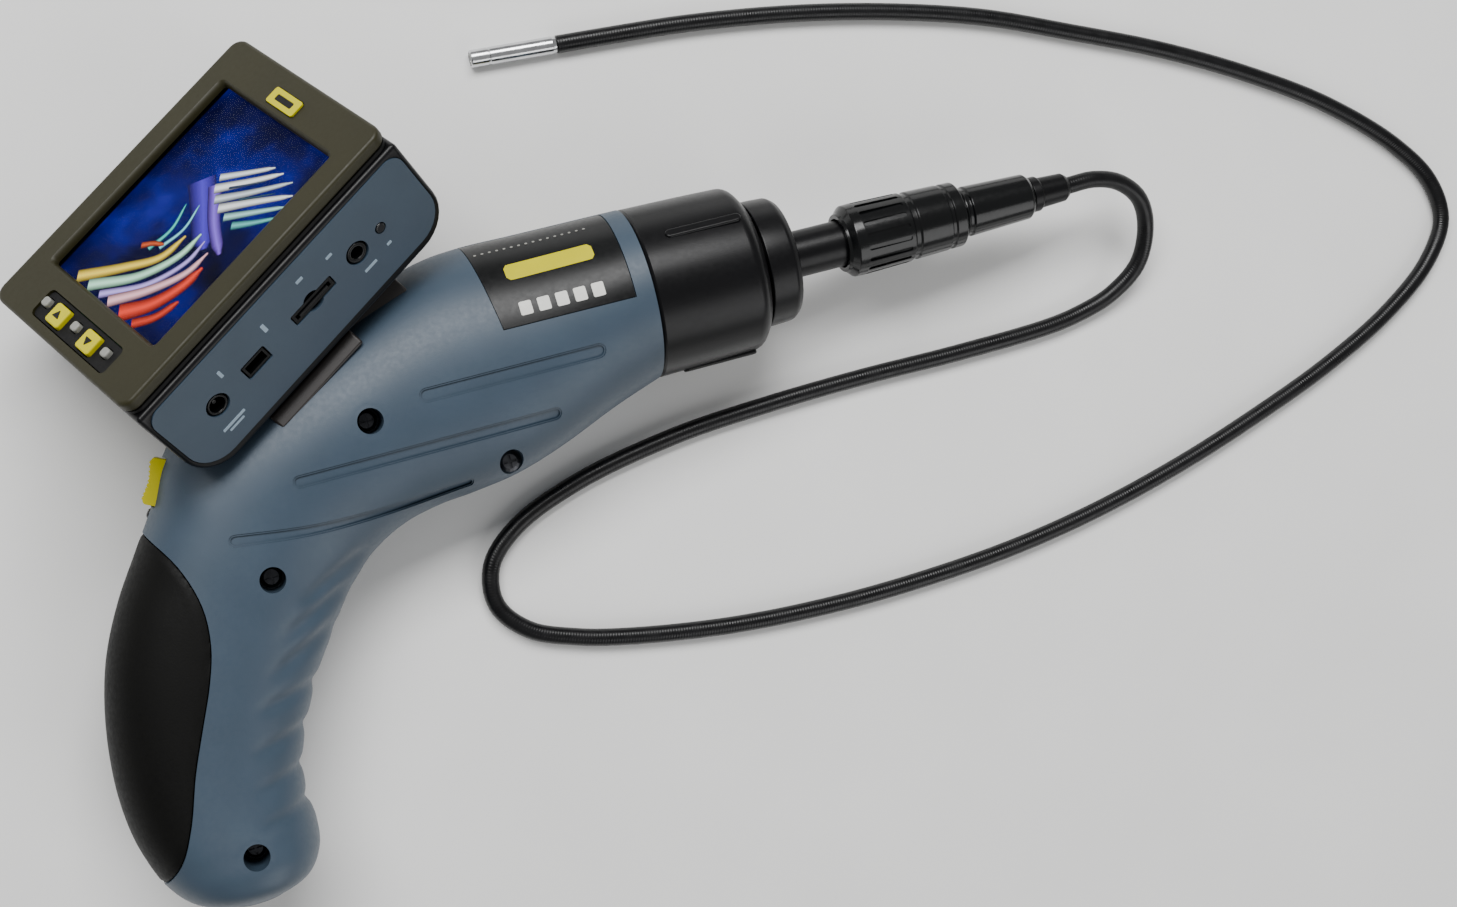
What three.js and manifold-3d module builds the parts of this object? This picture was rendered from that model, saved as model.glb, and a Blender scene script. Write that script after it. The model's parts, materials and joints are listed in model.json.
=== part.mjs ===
// Pistol-grip video inspection camera with a detachable monitor and a plug-in probe.
//
// Units are millimetres. The part lies on its left side: +X runs along the barrel towards
// the nose, +Y is the handset's own "up", and +Z points up from the table, out of the
// handset's right side.
//
// Three nested frames are used:
//   tool     origin on the barrel axis, where the shells meet the nose cap
//   dock     origin on the monitor's swivel axis; x across, y along the swivel axis, z up
//   monitor  the same origin, rolled about the swivel axis; z leaves through the screen

import * as THREE from 'three';
import { mergeVertices } from 'three/addons/utils/BufferGeometryUtils.js';
import Module from 'manifold-3d';

const wasm = await Module();
wasm.setup();

// ---------------------------------------------------------------- driving dimensions

const DEG = Math.PI / 180;
const GAP = 0.3;                     // clearance between neighbouring pieces
const BARREL_R = 26;                 // barrel radius where the shells meet the nose cap
const WALL = 2.6;                    // handset shell wall
const TOOL_ORIGIN = [25, 21.83, BARREL_R];    // tool frame's place in the part's frame

const SWIVEL_POINT = [-106, 26.5, 0];         // a point on the swivel axis, tool frame
const SWIVEL_RISE = 33.6 * DEG;               // swivel axis above the barrel axis
const MONITOR_ROLL = 44 * DEG;                // monitor turned towards the right side

const MONITOR_WIDTH = 71.2;          // across the swivel axis
const MONITOR_LENGTH = 100;          // along the swivel axis
const MONITOR_DEPTH = 41;            // rear face to bezel face
const BEZEL_WIDTH = 69;
const BEZEL_LENGTH = 99.6;
const BEZEL_BASE = 36.8;             // the bezel's lower edge, from the rear face
const HOUSING_TOP = 35.2;
const MONITOR_WALL = 2.2;
const REAR_CORNER_R = 12;
const SCREEN_WIDTH = 52;
const SCREEN_LENGTH = 68;
const SCREEN_OFFSET = 2;             // screen centre along the monitor's length
const PORT_HEIGHT = 18.6;            // centre line of the ports above the rear face

const PROBE_D = 5.5;
const TABLE = -BARREL_R;             // table height in the tool frame
const FERRULE_END = 145;
const TIP_LENGTH = 27;
const TIP_PLACE = [0.2, 80.72];      // rear end of the camera head, just past the cable's end
const TIP_TURN = 177.5 * DEG;

const PACK_PLACE = [-147.9, -88];    // middle of the four cells in the grip
const PACK_LEAN = -16.5 * DEG;

// Body outline in the tool frame, one row per section:
// top x, top y, bottom x, bottom y, half width, roundness power (2 is an ellipse).
const BODY_STATIONS = [
  [0, 26, 0, -26, 26, 2],
  [-16, 26, -15, -31, 26, 2],
  [-33, 26, -33, -38, 26, 2.05],
  [-49, 26, -48, -42.5, 25.8, 2.1],
  [-62, 24.5, -62, -44.5, 25.4, 2.1],
  [-78, 19.5, -73, -45.5, 25, 2.1],
  [-98, 12.5, -84, -48, 24.6, 2],
  [-118, 5.5, -94, -53, 23.6, 1.95],
  [-135, -1.5, -102, -60, 22.8, 1.95],
  [-145.5, -12, -108, -67, 22.4, 2.05],
  [-151.5, -24, -113, -74, 22.3, 2.2],
  [-159.5, -36, -118, -81, 21.8, 2.25],
  [-168, -49, -122, -88, 21.8, 2.3],
  [-175, -63.5, -125.5, -95, 22, 2.3],
  [-179.5, -80, -128.5, -102, 22.3, 2.3],
  [-181.5, -97, -130.5, -109.5, 22.8, 2.3],
  [-181, -111, -131, -117, 23.6, 2.3],
  [-178.5, -122, -130.5, -124, 24.6, 2.3],
  [-175, -130, -131.5, -131, 25, 2.3],
  [-169.5, -136, -135.5, -137, 22, 2.3],
  [-160, -140.5, -143, -140.5, 12, 2.2],
];
const BODY_SIDES = 32;

// Edge of the rubber back strap on the side of the grip, top tip to bottom tip.
const STRAP_EDGE = [
  [-156.5, -30.5], [-149, -42], [-145.5, -54], [-146, -65], [-149, -75],
  [-154, -86.5], [-159, -98], [-164, -112], [-169, -121.5], [-176.5, -128.5],
];

const SCREW_PLACES = [[-88, -16], [-125, -52], [-51, -38], [-149, -125]];

// Shallow grooves pressed into both sides, each a line of points with rounded ends.
const GROOVES = [
  [[-71, -13], [-20, -13]],
  [[-111, -27.5], [-36, -27.5]],
  [[-132, -38.5], [-104, -42]],
];
const GROOVE_WIDTH = 3.4;
const GROOVE_DEPTH = 0.8;

// Probe route, tool frame x and y with the height of its centre line above the table.
// It leaves the ferrule along the barrel axis, sags to the table and lies on it.
const PROBE_R = PROBE_D / 2;
const LYING = PROBE_R + 0.05;
const PROBE_ROUTE = [
  [145.3, 0, 26], [155, 0, 25.6], [165, -3, 23], [173, -10, 18.5], [175.5, -20, 13],
  [172, -31, 8], [162, -38.5, 4.2], [150, -42, LYING], [138, -43.5, LYING],
  [104, -44, LYING], [71, -43.5, LYING], [39, -44, LYING], [6, -46, LYING],
  [-28, -52, LYING], [-50, -60.5, LYING], [-60, -70, LYING], [-61.5, -82, LYING],
  [-54, -92, LYING], [-40, -98.5, LYING], [-24, -103, LYING], [9, -109, LYING],
  [43, -112, LYING], [75, -112.5, LYING], [108, -111, LYING], [140, -107, LYING],
  [174, -100, LYING], [205, -91.5, LYING], [237, -81, LYING], [264, -69, LYING],
  [283, -56, LYING], [292, -43, LYING], [290.5, -29, LYING], [280, -14, LYING],
  [258, 5, LYING], [232, 21, LYING], [202, 36, LYING], [170, 49, LYING],
  [141, 60, LYING], [109, 68.5, LYING], [77, 74.5, LYING], [43, 78.5, LYING],
  [17, 80, LYING], [0.6, 80.7, LYING],
];

// ---------------------------------------------------------------- finishes

const FINISH = {
  shell: finish(0x52616f, 0.5, 0),
  blackPlastic: finish(0x17181a, 0.38, 0),
  blackRubber: finish(0x121212, 0.8, 0),
  label: finish(0x0c0d0f, 0.3, 0),
  khaki: finish(0x514e3e, 0.5, 0),
  yellow: finish(0xc4c21c, 0.45, 0),
  greyKey: finish(0x9a9a96, 0.4, 0.2),
  screen: finish(0x0b1440, 0.1, 0),
  clear: finish(0x101828, 0.05, 0),
  board: finish(0x1f5a34, 0.6, 0),
  steel: finish(0xb9bcc0, 0.25, 1),
  zinc: finish(0x8b8d90, 0.45, 1),
  battery: finish(0x3a4a60, 0.4, 0.3),
  whitePlastic: finish(0xd8d8d2, 0.5, 0),
  lens: finish(0x0a0f18, 0.05, 0),
};

function finish(color, roughness, metalness) {
  return new THREE.MeshStandardMaterial({ color, roughness, metalness });
}

// ---------------------------------------------------------------- solids and booleans

function solid(geometry) {
  const bare = geometry.clone();
  bare.deleteAttribute('normal');
  bare.deleteAttribute('uv');
  const merged = mergeVertices(bare, 1e-4);
  const mesh = new wasm.Mesh({
    numProp: 3,
    vertProperties: Float32Array.from(merged.attributes.position.array),
    triVerts: Uint32Array.from(merged.index.array),
  });
  return new wasm.Manifold(mesh);
}

function join(...pieces) {
  return pieces.map(asSolid).reduce((whole, piece) => whole.add(piece));
}

function cut(base, ...tools) {
  return tools.map(asSolid).reduce((rest, tool) => rest.subtract(tool), asSolid(base));
}

function common(a, b) {
  return asSolid(a).intersect(asSolid(b));
}

function asSolid(piece) {
  return piece.isBufferGeometry ? solid(piece) : piece;
}

function asGeometry(piece) {
  if (piece.isBufferGeometry) {
    return piece;
  }
  const mesh = piece.getMesh();
  const geometry = new THREE.BufferGeometry();
  geometry.setAttribute('position', new THREE.Float32BufferAttribute(mesh.vertProperties, 3));
  geometry.setIndex(Array.from(mesh.triVerts));
  geometry.computeVertexNormals();
  return geometry;
}

function add(group, name, piece, material) {
  const mesh = new THREE.Mesh(asGeometry(piece), material);
  mesh.name = name;
  group.add(mesh);
  return mesh;
}

// ---------------------------------------------------------------- shape helpers

// A box given by its lowest and highest corners.
function box(low, high) {
  const size = high.map((value, i) => value - low[i]);
  const middle = high.map((value, i) => (value + low[i]) / 2);
  return new THREE.BoxGeometry(...size).translate(...middle);
}

// A round bar between two values of the named axis, centred on the other two.
function bar(axis, radius, from, to, centre = [0, 0], sides = 20) {
  const geometry = new THREE.CylinderGeometry(radius, radius, to - from, sides);
  geometry.translate(0, (from + to) / 2, 0);
  if (axis === 'x') {
    return geometry.rotateZ(-Math.PI / 2).translate(0, centre[0], centre[1]);
  }
  if (axis === 'y') {
    return geometry.translate(centre[0], 0, centre[1]);
  }
  return geometry.rotateX(Math.PI / 2).translate(centre[0], centre[1], 0);
}

// A turned piece about the x axis; the profile is a list of [x, radius].
function turned(profile, sides = 36) {
  const points = profile.map(([x, radius]) => new THREE.Vector2(radius, x));
  const [first, last] = [points[0], points[points.length - 1]];
  if (first.x > 0 || last.x > 0) {
    points.push(first.clone());
  }
  return new THREE.LatheGeometry(points, sides).rotateZ(-Math.PI / 2);
}

function roundedRect(width, height, radius, x = 0, y = 0, path = new THREE.Shape()) {
  const [left, right, low, high] = [x - width / 2, x + width / 2, y - height / 2, y + height / 2];
  path.moveTo(left + radius, low);
  path.lineTo(right - radius, low);
  path.absarc(right - radius, low + radius, radius, -Math.PI / 2, 0);
  path.lineTo(right, high - radius);
  path.absarc(right - radius, high - radius, radius, 0, Math.PI / 2);
  path.lineTo(left + radius, high);
  path.absarc(left + radius, high - radius, radius, Math.PI / 2, Math.PI);
  path.lineTo(left, low + radius);
  path.absarc(left + radius, low + radius, radius, Math.PI, Math.PI * 1.5);
  return path;
}

// An outline in x and y raised from one z to another, with an optional edge bevel.
function prism(shape, from, to, bevel = 0, curveSegments = 5) {
  const geometry = new THREE.ExtrudeGeometry(shape, {
    depth: to - from - 2 * bevel,
    bevelEnabled: bevel > 0,
    bevelThickness: bevel,
    bevelSize: bevel,
    bevelOffset: -bevel,
    bevelSegments: 2,
    curveSegments,
  });
  return geometry.translate(0, 0, from + bevel);
}

function polygon(points) {
  return new THREE.Shape(points.map(([x, y]) => new THREE.Vector2(x, y)));
}

// ---------------------------------------------------------------- handset body

// Points of one body section, moved inwards by inset all round.
function bodyRing([topX, topY, bottomX, bottomY, half, power], inset) {
  const up = new THREE.Vector2(topX - bottomX, topY - bottomY);
  const reach = up.length() / 2 - inset;
  up.normalize();
  const [midX, midY] = [(topX + bottomX) / 2, (topY + bottomY) / 2];
  const ring = [];
  for (let i = 0; i < BODY_SIDES; i += 1) {
    const angle = (i / BODY_SIDES) * 2 * Math.PI;
    const [c, s] = [Math.cos(angle), Math.sin(angle)];
    const rise = Math.sign(s) * Math.abs(s) ** (2 / power) * reach;
    const side = Math.sign(c) * Math.abs(c) ** (2 / power) * (half - inset);
    ring.push([midX + up.x * rise, midY + up.y * rise, side]);
  }
  return ring;
}

// A closed skin over a row of rings with the same number of points.
function skin(rings) {
  const count = rings[0].length;
  const positions = rings.flat(2);
  const indices = [];
  for (let i = 0; i + 1 < rings.length; i += 1) {
    for (let j = 0; j < count; j += 1) {
      const [a, b] = [i * count + j, i * count + ((j + 1) % count)];
      indices.push(a, b, a + count, b, b + count, a + count);
    }
  }
  const lastRow = (rings.length - 1) * count;
  for (let j = 1; j + 1 < count; j += 1) {
    indices.push(0, j + 1, j);
    indices.push(lastRow, lastRow + j, lastRow + j + 1);
  }
  const geometry = new THREE.BufferGeometry();
  geometry.setAttribute('position', new THREE.Float32BufferAttribute(positions, 3));
  geometry.setIndex(indices);
  return geometry;
}

function bodyLoft(inset, stations = BODY_STATIONS) {
  return solid(skin(stations.map((station) => bodyRing(station, inset))));
}

// The hollow of the handset: open at the nose, closed above the end of the grip.
function bodyHollow() {
  const openEnd = [[8, BARREL_R, 8, -BARREL_R, BARREL_R, 2]];
  return bodyLoft(WALL, openEnd.concat(BODY_STATIONS.slice(0, -1)));
}

// Everything behind the strap's edge, which is moved forwards by the given amount.
function strapRegion(forwards) {
  const curve = new THREE.SplineCurve(STRAP_EDGE.map(([x, y]) => new THREE.Vector2(x, y)));
  const edge = curve.getPoints(26).map((point, i, all) => {
    const before = all[Math.max(i - 1, 0)];
    const after = all[Math.min(i + 1, all.length - 1)];
    const along = after.clone().sub(before).normalize();
    return [point.x - along.y * forwards, point.y + along.x * forwards];
  });
  const behind = -200;
  const outline = [...edge, [behind, edge[edge.length - 1][1]], [behind, edge[0][1]]];
  return prism(polygon(outline), -40, 40);
}

const LABEL = { rear: -48, front: -6, low: -0.2, split: 1.5 };

function labelRegion(side, margin) {
  const [near, far] = [LABEL.split - margin, 40];
  const z = side > 0 ? [near, far] : [-far, -near];
  return box([LABEL.rear - margin, LABEL.low - margin, z[0]], [LABEL.front + margin, 40, z[1]]);
}

// The outline of a straight groove with round ends, raised through one side of the body.
function grooveCutter([start, end], side) {
  const [dx, dy] = [end[0] - start[0], end[1] - start[1]];
  const length = Math.hypot(dx, dy) + GROOVE_WIDTH;
  const shape = roundedRect(length, GROOVE_WIDTH, GROOVE_WIDTH / 2 - 0.01);
  const [low, high] = side > 0 ? [5, 40] : [-40, -5];
  const raised = prism(shape, low, high, 0, 4).rotateZ(Math.atan2(dy, dx));
  raised.translate((start[0] + end[0]) / 2, (start[1] + end[1]) / 2, 0);
  return cut(raised, bodyLoft(GROOVE_DEPTH));
}

const ROCKER = { length: 13.5, width: 13, proud: 2.8, depth: 5, x: -148.5, y: -18 };
const ROCKER_TURN = Math.atan2(-12, -6);       // direction of the surface under the rocker
const LED_PLACE = [-152.7, -26.2];
const LED_TURN = Math.atan2(0.555, -0.832);    // outward direction at the status lamp

function rockerBlock(margin, deepest, bevel) {
  const { length, width, proud } = ROCKER;
  const shape = polygon([
    [-length / 2 - margin, -proud - margin], [length / 2 + margin, -proud - margin],
    [length / 2 + margin, deepest], [-length / 2 - margin, deepest],
  ]);
  const half = width / 2 + margin;
  return prism(shape, -half, half, bevel).rotateZ(ROCKER_TURN).translate(ROCKER.x, ROCKER.y, 0);
}

function ledBar(radius, inner, outer) {
  return bar('x', radius, inner, outer, [0, 0], 12).rotateZ(LED_TURN).translate(...LED_PLACE, 0);
}

const BOSS_R = 5.2;
const RECESS_R = 3.75;
const RECESS_FLOOR = 8;

// One half of the handset; side is +1 for the right and -1 for the left.
function handsetShell(side) {
  const split = 0.15;
  const halfSpace = side > 0 ? box([-220, -180, split], [40, 60, 60])
    : box([-220, -180, -60], [40, 60, -split]);
  const along = (radius, from, to, place) => {
    const [low, high] = side > 0 ? [from, to] : [-to, -from];
    return bar('z', radius, low, high, place, 16);
  };
  const outer = bodyLoft(0);
  const bosses = join(...SCREW_PLACES.map((place) => along(BOSS_R, 0, 30, place)));
  let shell = join(cut(outer, bodyHollow()), common(outer, bosses));
  shell = common(shell, halfSpace);
  for (const place of SCREW_PLACES) {
    if (side > 0) {
      shell = cut(shell, along(RECESS_R, RECESS_FLOOR, 40, place), along(1.9, -1, 20, place));
    } else {
      shell = cut(shell, along(1.9, -1, 16, place));
    }
  }
  const labelPocket = cut(labelRegion(side, GAP), bodyLoft(1.2));
  return cut(
    shell,
    labelPocket,
    ...GROOVES.map((groove) => grooveCutter(groove, side)),
    strapRegion(0.35),
    rockerBlock(0.4, 12, 0),
    ledBar(2, -8, 6),
    placeInTool(box([-4.4, -18.4, -32], [4.4, 18.4, -8])),
  );
}

function labelPlate(side) {
  return cut(common(bodyLoft(0), labelRegion(side, 0)), bodyLoft(0.9));
}

// The rubber strap and the hard battery door under it follow the body's own surface.
function gripPad() {
  return cut(common(bodyLoft(0), strapRegion(0)), bodyLoft(2.2));
}

function batteryDoor() {
  return cut(common(bodyLoft(2.5), strapRegion(0)), bodyLoft(4.2));
}

function noseCap() {
  const cap = turned([
    [0.3, 25.9], [18, 25.7], [28.5, 25.3], [33, 23.8], [35.6, 21], [36.2, 18],
    [36.2, 16.4], [33, 16.4], [32.4, 21], [-6, 20.9], [-6, 22.9], [0.3, 22.9],
  ], 48);
  const ribs = [35, 155, -85].map((angle) => {
    const rib = prism(roundedRect(23.6, 3, 1.4, 20, 0), 22.6, 26.4, 0.5, 3);
    return rib.rotateX(-angle * DEG);
  });
  return join(cap, ...ribs);
}

const noseRing = () => turned([
  [26, 8], [26, 15.9], [36.9, 15.9], [36.9, 19.6], [44.5, 19.3], [47.1, 18],
  [47.7, 16.6], [47.7, 8],
], 40);

const probeSocket = () => turned([
  [12, 0], [12, 7.2], [20, 7.2], [20, 13], [25.4, 13], [25.4, 7.2], [82, 7.2], [82, 5],
  [67, 5], [67, 0],
], 24);

function screw(place) {
  const seat = RECESS_FLOOR + 0.1;
  const profile = [
    [-11, 0], [-11, 0.9], [-9.5, 1.5], [seat, 1.5], [seat, 3.1], [seat + 1.7, 3.1],
    [seat + 2.3, 2.2], [seat + 2.3, 0],
  ];
  const blank = turned(profile, 14).rotateY(-Math.PI / 2);
  const slotFloor = seat + 1.4;
  const slots = [
    box([-2, -0.4, slotFloor], [2, 0.4, 14]),
    box([-0.4, -2, slotFloor], [0.4, 2, 14]),
  ];
  return cut(blank, ...slots).translate([...place, 0]);
}

// ---------------------------------------------------------------- handset, inside

// A trough open towards the door, with its front corners rounded to follow the cells.
function batteryTray() {
  const [back, front, halfWidth, halfLength, wall] = [-14.6, 15, 15.2, 28.2, 0.8];
  const trough = (inset, rear) => {
    const [reach, half, radius] = [front - inset, halfWidth - inset, 7 - inset];
    const shape = new THREE.Shape();
    shape.moveTo(rear, -half);
    shape.lineTo(reach - radius, -half);
    shape.absarc(reach - radius, -half + radius, radius, -Math.PI / 2, 0);
    shape.lineTo(reach, half - radius);
    shape.absarc(reach - radius, half - radius, radius, 0, Math.PI / 2);
    shape.lineTo(rear, half);
    return prism(shape, -halfLength + inset, halfLength - inset, 0, 4);
  };
  return cut(trough(0, back), trough(wall, back - 5)).rotate([90, 0, 0]);
}

function addBatteryPack(tool) {
  const pack = new THREE.Group();
  pack.position.set(...PACK_PLACE, 0);
  pack.rotation.z = PACK_LEAN;
  tool.add(pack);
  add(pack, 'battery_tray', batteryTray(), FINISH.blackPlastic);
  const cellRadius = 6.9;
  const [rearRow, frontRow, halfPitch] = [-7.4, 7, 7.1];
  let number = 1;
  for (const x of [rearRow, frontRow]) {
    for (const z of [-halfPitch, halfPitch]) {
      const can = bar('y', cellRadius, -24.8, 24, [x, z], 18);
      const button = bar('y', 2.7, 23.5, 25.6, [x, z], 10);
      add(pack, `battery_${number}`, join(can, button), FINISH.battery);
      number += 1;
    }
  }
  const plate = (low, high) => box([-13.4, low, -13.4], [9.8, high, 13.4]);
  add(pack, 'battery_contact_top', plate(26, 26.7), FINISH.steel);
  const springs = [-halfPitch, halfPitch].map(
    (z) => bar('y', 2.2, -26.6, -25.1, [rearRow, z], 10),
  );
  add(pack, 'battery_contact_bottom', join(plate(-27, -26.4), ...springs), FINISH.steel);
}

function addElectronics(tool) {
  const board = box([-79, -20, -5], [-14, 13, -3.4]);
  const chips = [
    box([-44, -9, -3.5], [-30, 5, -1.9]),
    box([-76, -17, -3.5], [-66, -9, -0.9]),
    box([-26, -4, -3.5], [-17, 6, -0.4]),
  ];
  add(tool, 'main_board', join(board, ...chips), FINISH.board);
  add(tool, 'transmitter_can', box([-74, -6, -3.1], [-50, 10, 1.4]), FINISH.steel);
  add(tool, 'antenna', bar('x', 2, -62, -18, [17, 3], 12), FINISH.blackPlastic);
  const inward = box([-7, 7.6, -7], [7, 9.2, 7]).rotateZ(ROCKER_TURN);
  add(tool, 'rocker_board', inward.translate(ROCKER.x, ROCKER.y, 0), FINISH.board);
}

// ---------------------------------------------------------------- dock

const dockMatrix = new THREE.Matrix4().makeBasis(
  new THREE.Vector3(0, 0, 1),
  new THREE.Vector3(Math.cos(SWIVEL_RISE), Math.sin(SWIVEL_RISE), 0),
  new THREE.Vector3(-Math.sin(SWIVEL_RISE), Math.cos(SWIVEL_RISE), 0),
).setPosition(...SWIVEL_POINT);

function placeInTool(geometry) {
  return geometry.applyMatrix4(dockMatrix);
}

const BARREL = { radius: 8, half: 22 };

// A section across the dock, drawn from its right-hand lowest point to the top and raised
// along the swivel axis; its left half mirrors the right.
function dockSection(half, from, to) {
  const mirrored = half.map(([x, z]) => [-x, z]).reverse();
  return prism(polygon([...half, ...mirrored]), from, to).applyMatrix4(
    new THREE.Matrix4().makeBasis(
      new THREE.Vector3(-1, 0, 0), new THREE.Vector3(0, 0, 1), new THREE.Vector3(0, 1, 0),
    ),
  );
}

// A ridge that sits astride the handset, with a wing down each flank, and carries the
// swivel barrel.
function dockBase() {
  const ridge = dockSection([[15, -34], [15, -18.5], [4, -7]], -30, 27);
  const wings = dockSection([[21.6, -29.5], [20.8, -24.5], [12, -16]], -26, 7);
  const saddle = cut(join(placeInTool(ridge), placeInTool(wings)), bodyLoft(-GAP));
  const barrel = placeInTool(bar('y', BARREL.radius, -BARREL.half, BARREL.half, [0, 0], 28));
  const neck = placeInTool(box([-4, -BARREL.half, -9], [4, BARREL.half, 0]));
  const tongue = placeInTool(box([-4, -18, -24], [4, 18, -8]));
  return join(saddle, barrel, neck, tongue);
}

// The part that turns on the barrel and that the monitor slides onto.
function dockShoe() {
  const sleeve = bar('y', 11.5, -23.5, 23.5, [0, 0], 28);
  const flange = box([-12.4, -23.5, 8.5], [12.4, 23.5, 12.9]);
  const bore = bar('y', 8.4, -30, 30, [0, 0], 28);
  const mouth = box([-20, -30, -20], [20, 30, -2]);
  return cut(join(sleeve, flange), bore, mouth);
}

// ---------------------------------------------------------------- monitor

// An outline drawn along the monitor's length and depth, raised across its width.
function acrossWidth(shape, from, to, bevel = 0, curveSegments = 6) {
  const geometry = prism(shape, from, to, bevel, curveSegments);
  return geometry.applyMatrix4(new THREE.Matrix4().makeBasis(
    new THREE.Vector3(0, 1, 0), new THREE.Vector3(0, 0, 1), new THREE.Vector3(1, 0, 0),
  ));
}

// Side view of the monitor: round at the two rear corners, square or slightly round in front.
function sideOutline(half, low, high, radius, frontRadius = 0) {
  const shape = new THREE.Shape();
  if (frontRadius > 0) {
    shape.absarc(half - frontRadius, high - frontRadius, frontRadius, 0, Math.PI / 2);
    shape.absarc(-half + frontRadius, high - frontRadius, frontRadius, Math.PI / 2, Math.PI);
  } else {
    shape.moveTo(half, high);
    shape.lineTo(-half, high);
  }
  shape.lineTo(-half, low + radius);
  shape.absarc(-half + radius, low + radius, radius, Math.PI, Math.PI * 1.5);
  shape.lineTo(half - radius, low);
  shape.absarc(half - radius, low + radius, radius, -Math.PI / 2, 0);
  return shape;
}

const PANEL = {
  half: 48.4, low: 3.2, high: 33.4, radius: 10, frontRadius: 4.5, inner: 34.4, outer: 35.9,
};

function panelPrism(side, margin, from, to) {
  const { half, low, high, radius, frontRadius } = PANEL;
  const outline = sideOutline(
    half + margin, low - margin, high + margin, radius + margin, frontRadius + margin,
  );
  return side > 0 ? acrossWidth(outline, from, to) : acrossWidth(outline, -to, -from);
}

const PORTS = {
  lamp: { y: 31.9, r: 1.5 },
  video: { y: 22.6, r: 3.1 },
  card: { y: 5, length: 15, height: 3.4 },
  usb: { y: -17.6, length: 8, height: 4.4 },
  power: { y: -32.8, r: 3.1 },
};

// The openings that the sockets stand in, through panel and housing.
function portCutters(margin) {
  const [near, far] = [20, 50];
  const round = ({ y, r }) => bar('x', r + margin, near, far, [y, PORT_HEIGHT], 20);
  const slot = ({ y, length, height }) => box(
    [near, y - length / 2 - margin, PORT_HEIGHT - height / 2 - margin],
    [far, y + length / 2 + margin, PORT_HEIGHT + height / 2 + margin],
  );
  return [round(PORTS.lamp), round(PORTS.video), slot(PORTS.card), slot(PORTS.usb),
    round(PORTS.power)];
}

function monitorHousing() {
  const halfWidth = MONITOR_WIDTH / 2;
  const halfLength = MONITOR_LENGTH / 2;
  const outline = sideOutline(halfLength, 0, HOUSING_TOP, REAR_CORNER_R);
  const hollow = sideOutline(
    halfLength - MONITOR_WALL, MONITOR_WALL, HOUSING_TOP + 5, REAR_CORNER_R - MONITOR_WALL,
  );
  const inside = halfWidth - MONITOR_WALL - 0.6;
  const tub = cut(
    acrossWidth(outline, -halfWidth, halfWidth, 1),
    acrossWidth(hollow, -inside, inside),
  );
  const railBlock = box([-15.2, -48.5, 1], [15.2, 28.2, 15.5]);
  const rail = box([-13, -60, -2], [13, 26, 13.3]);
  return cut(
    join(tub, railBlock),
    rail,
    panelPrism(1, GAP, PANEL.inner - GAP, 60),
    panelPrism(-1, GAP, PANEL.inner - GAP, 60),
    ...portCutters(GAP),
  );
}

function monitorGasket() {
  const ring = roundedRect(BEZEL_WIDTH - 0.6, BEZEL_LENGTH - 0.6, 4);
  ring.holes.push(roundedRect(BEZEL_WIDTH - 6, BEZEL_LENGTH - 6, 2, 0, 0, new THREE.Path()));
  return prism(ring, HOUSING_TOP + GAP, BEZEL_BASE - GAP, 0, 4);
}

const PAD = { width: 37, height: 8.4, x: 1, y: -42.2, radius: 1.5 };
const KEYS = [
  { name: 'up_key', x: -8.2, y: -42.4, width: 6.4, height: 6.2, finish: 'yellow' },
  { name: 'down_key', x: 7.7, y: -42.4, width: 6.4, height: 6.2, finish: 'yellow' },
  { name: 'power_key', x: -15.6, y: -41.6, width: 2.8, height: 2.8, finish: 'greyKey' },
  { name: 'menu_key', x: -0.3, y: -41.6, width: 2.8, height: 2.8, finish: 'greyKey' },
  { name: 'record_key', x: 15.2, y: -41.6, width: 2.8, height: 2.8, finish: 'greyKey' },
];
const TAG = { width: 12.4, height: 5.2, x: -0.7, y: 41.2 };

function monitorBezel() {
  const frame = roundedRect(BEZEL_WIDTH, BEZEL_LENGTH, 4);
  const block = prism(frame, BEZEL_BASE, MONITOR_DEPTH, 1, 4);
  const window = prism(
    roundedRect(SCREEN_WIDTH, SCREEN_LENGTH, 1.5, 0, SCREEN_OFFSET), 30, 50, 0, 3,
  );
  const seat = box([-30, SCREEN_OFFSET - 37.6, 30], [30, SCREEN_OFFSET + 37.6, 38.8]);
  const padHole = prism(
    roundedRect(PAD.width + 0.6, PAD.height + 0.6, PAD.radius, PAD.x, PAD.y), 30, 50, 0, 3,
  );
  const tagSeat = box(
    [TAG.x - TAG.width / 2 - GAP, TAG.y - TAG.height / 2 - GAP, 40.5],
    [TAG.x + TAG.width / 2 + GAP, TAG.y + TAG.height / 2 + GAP, 44],
  );
  return cut(block, window, seat, padHole, tagSeat);
}

function buttonPad() {
  const plate = roundedRect(PAD.width, PAD.height, PAD.radius, PAD.x, PAD.y);
  for (const { x, y, width, height } of KEYS) {
    plate.holes.push(roundedRect(width + 0.6, height + 0.6, 1, x, y, new THREE.Path()));
  }
  return prism(plate, 38.4, 40.4, 0, 2);
}

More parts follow.
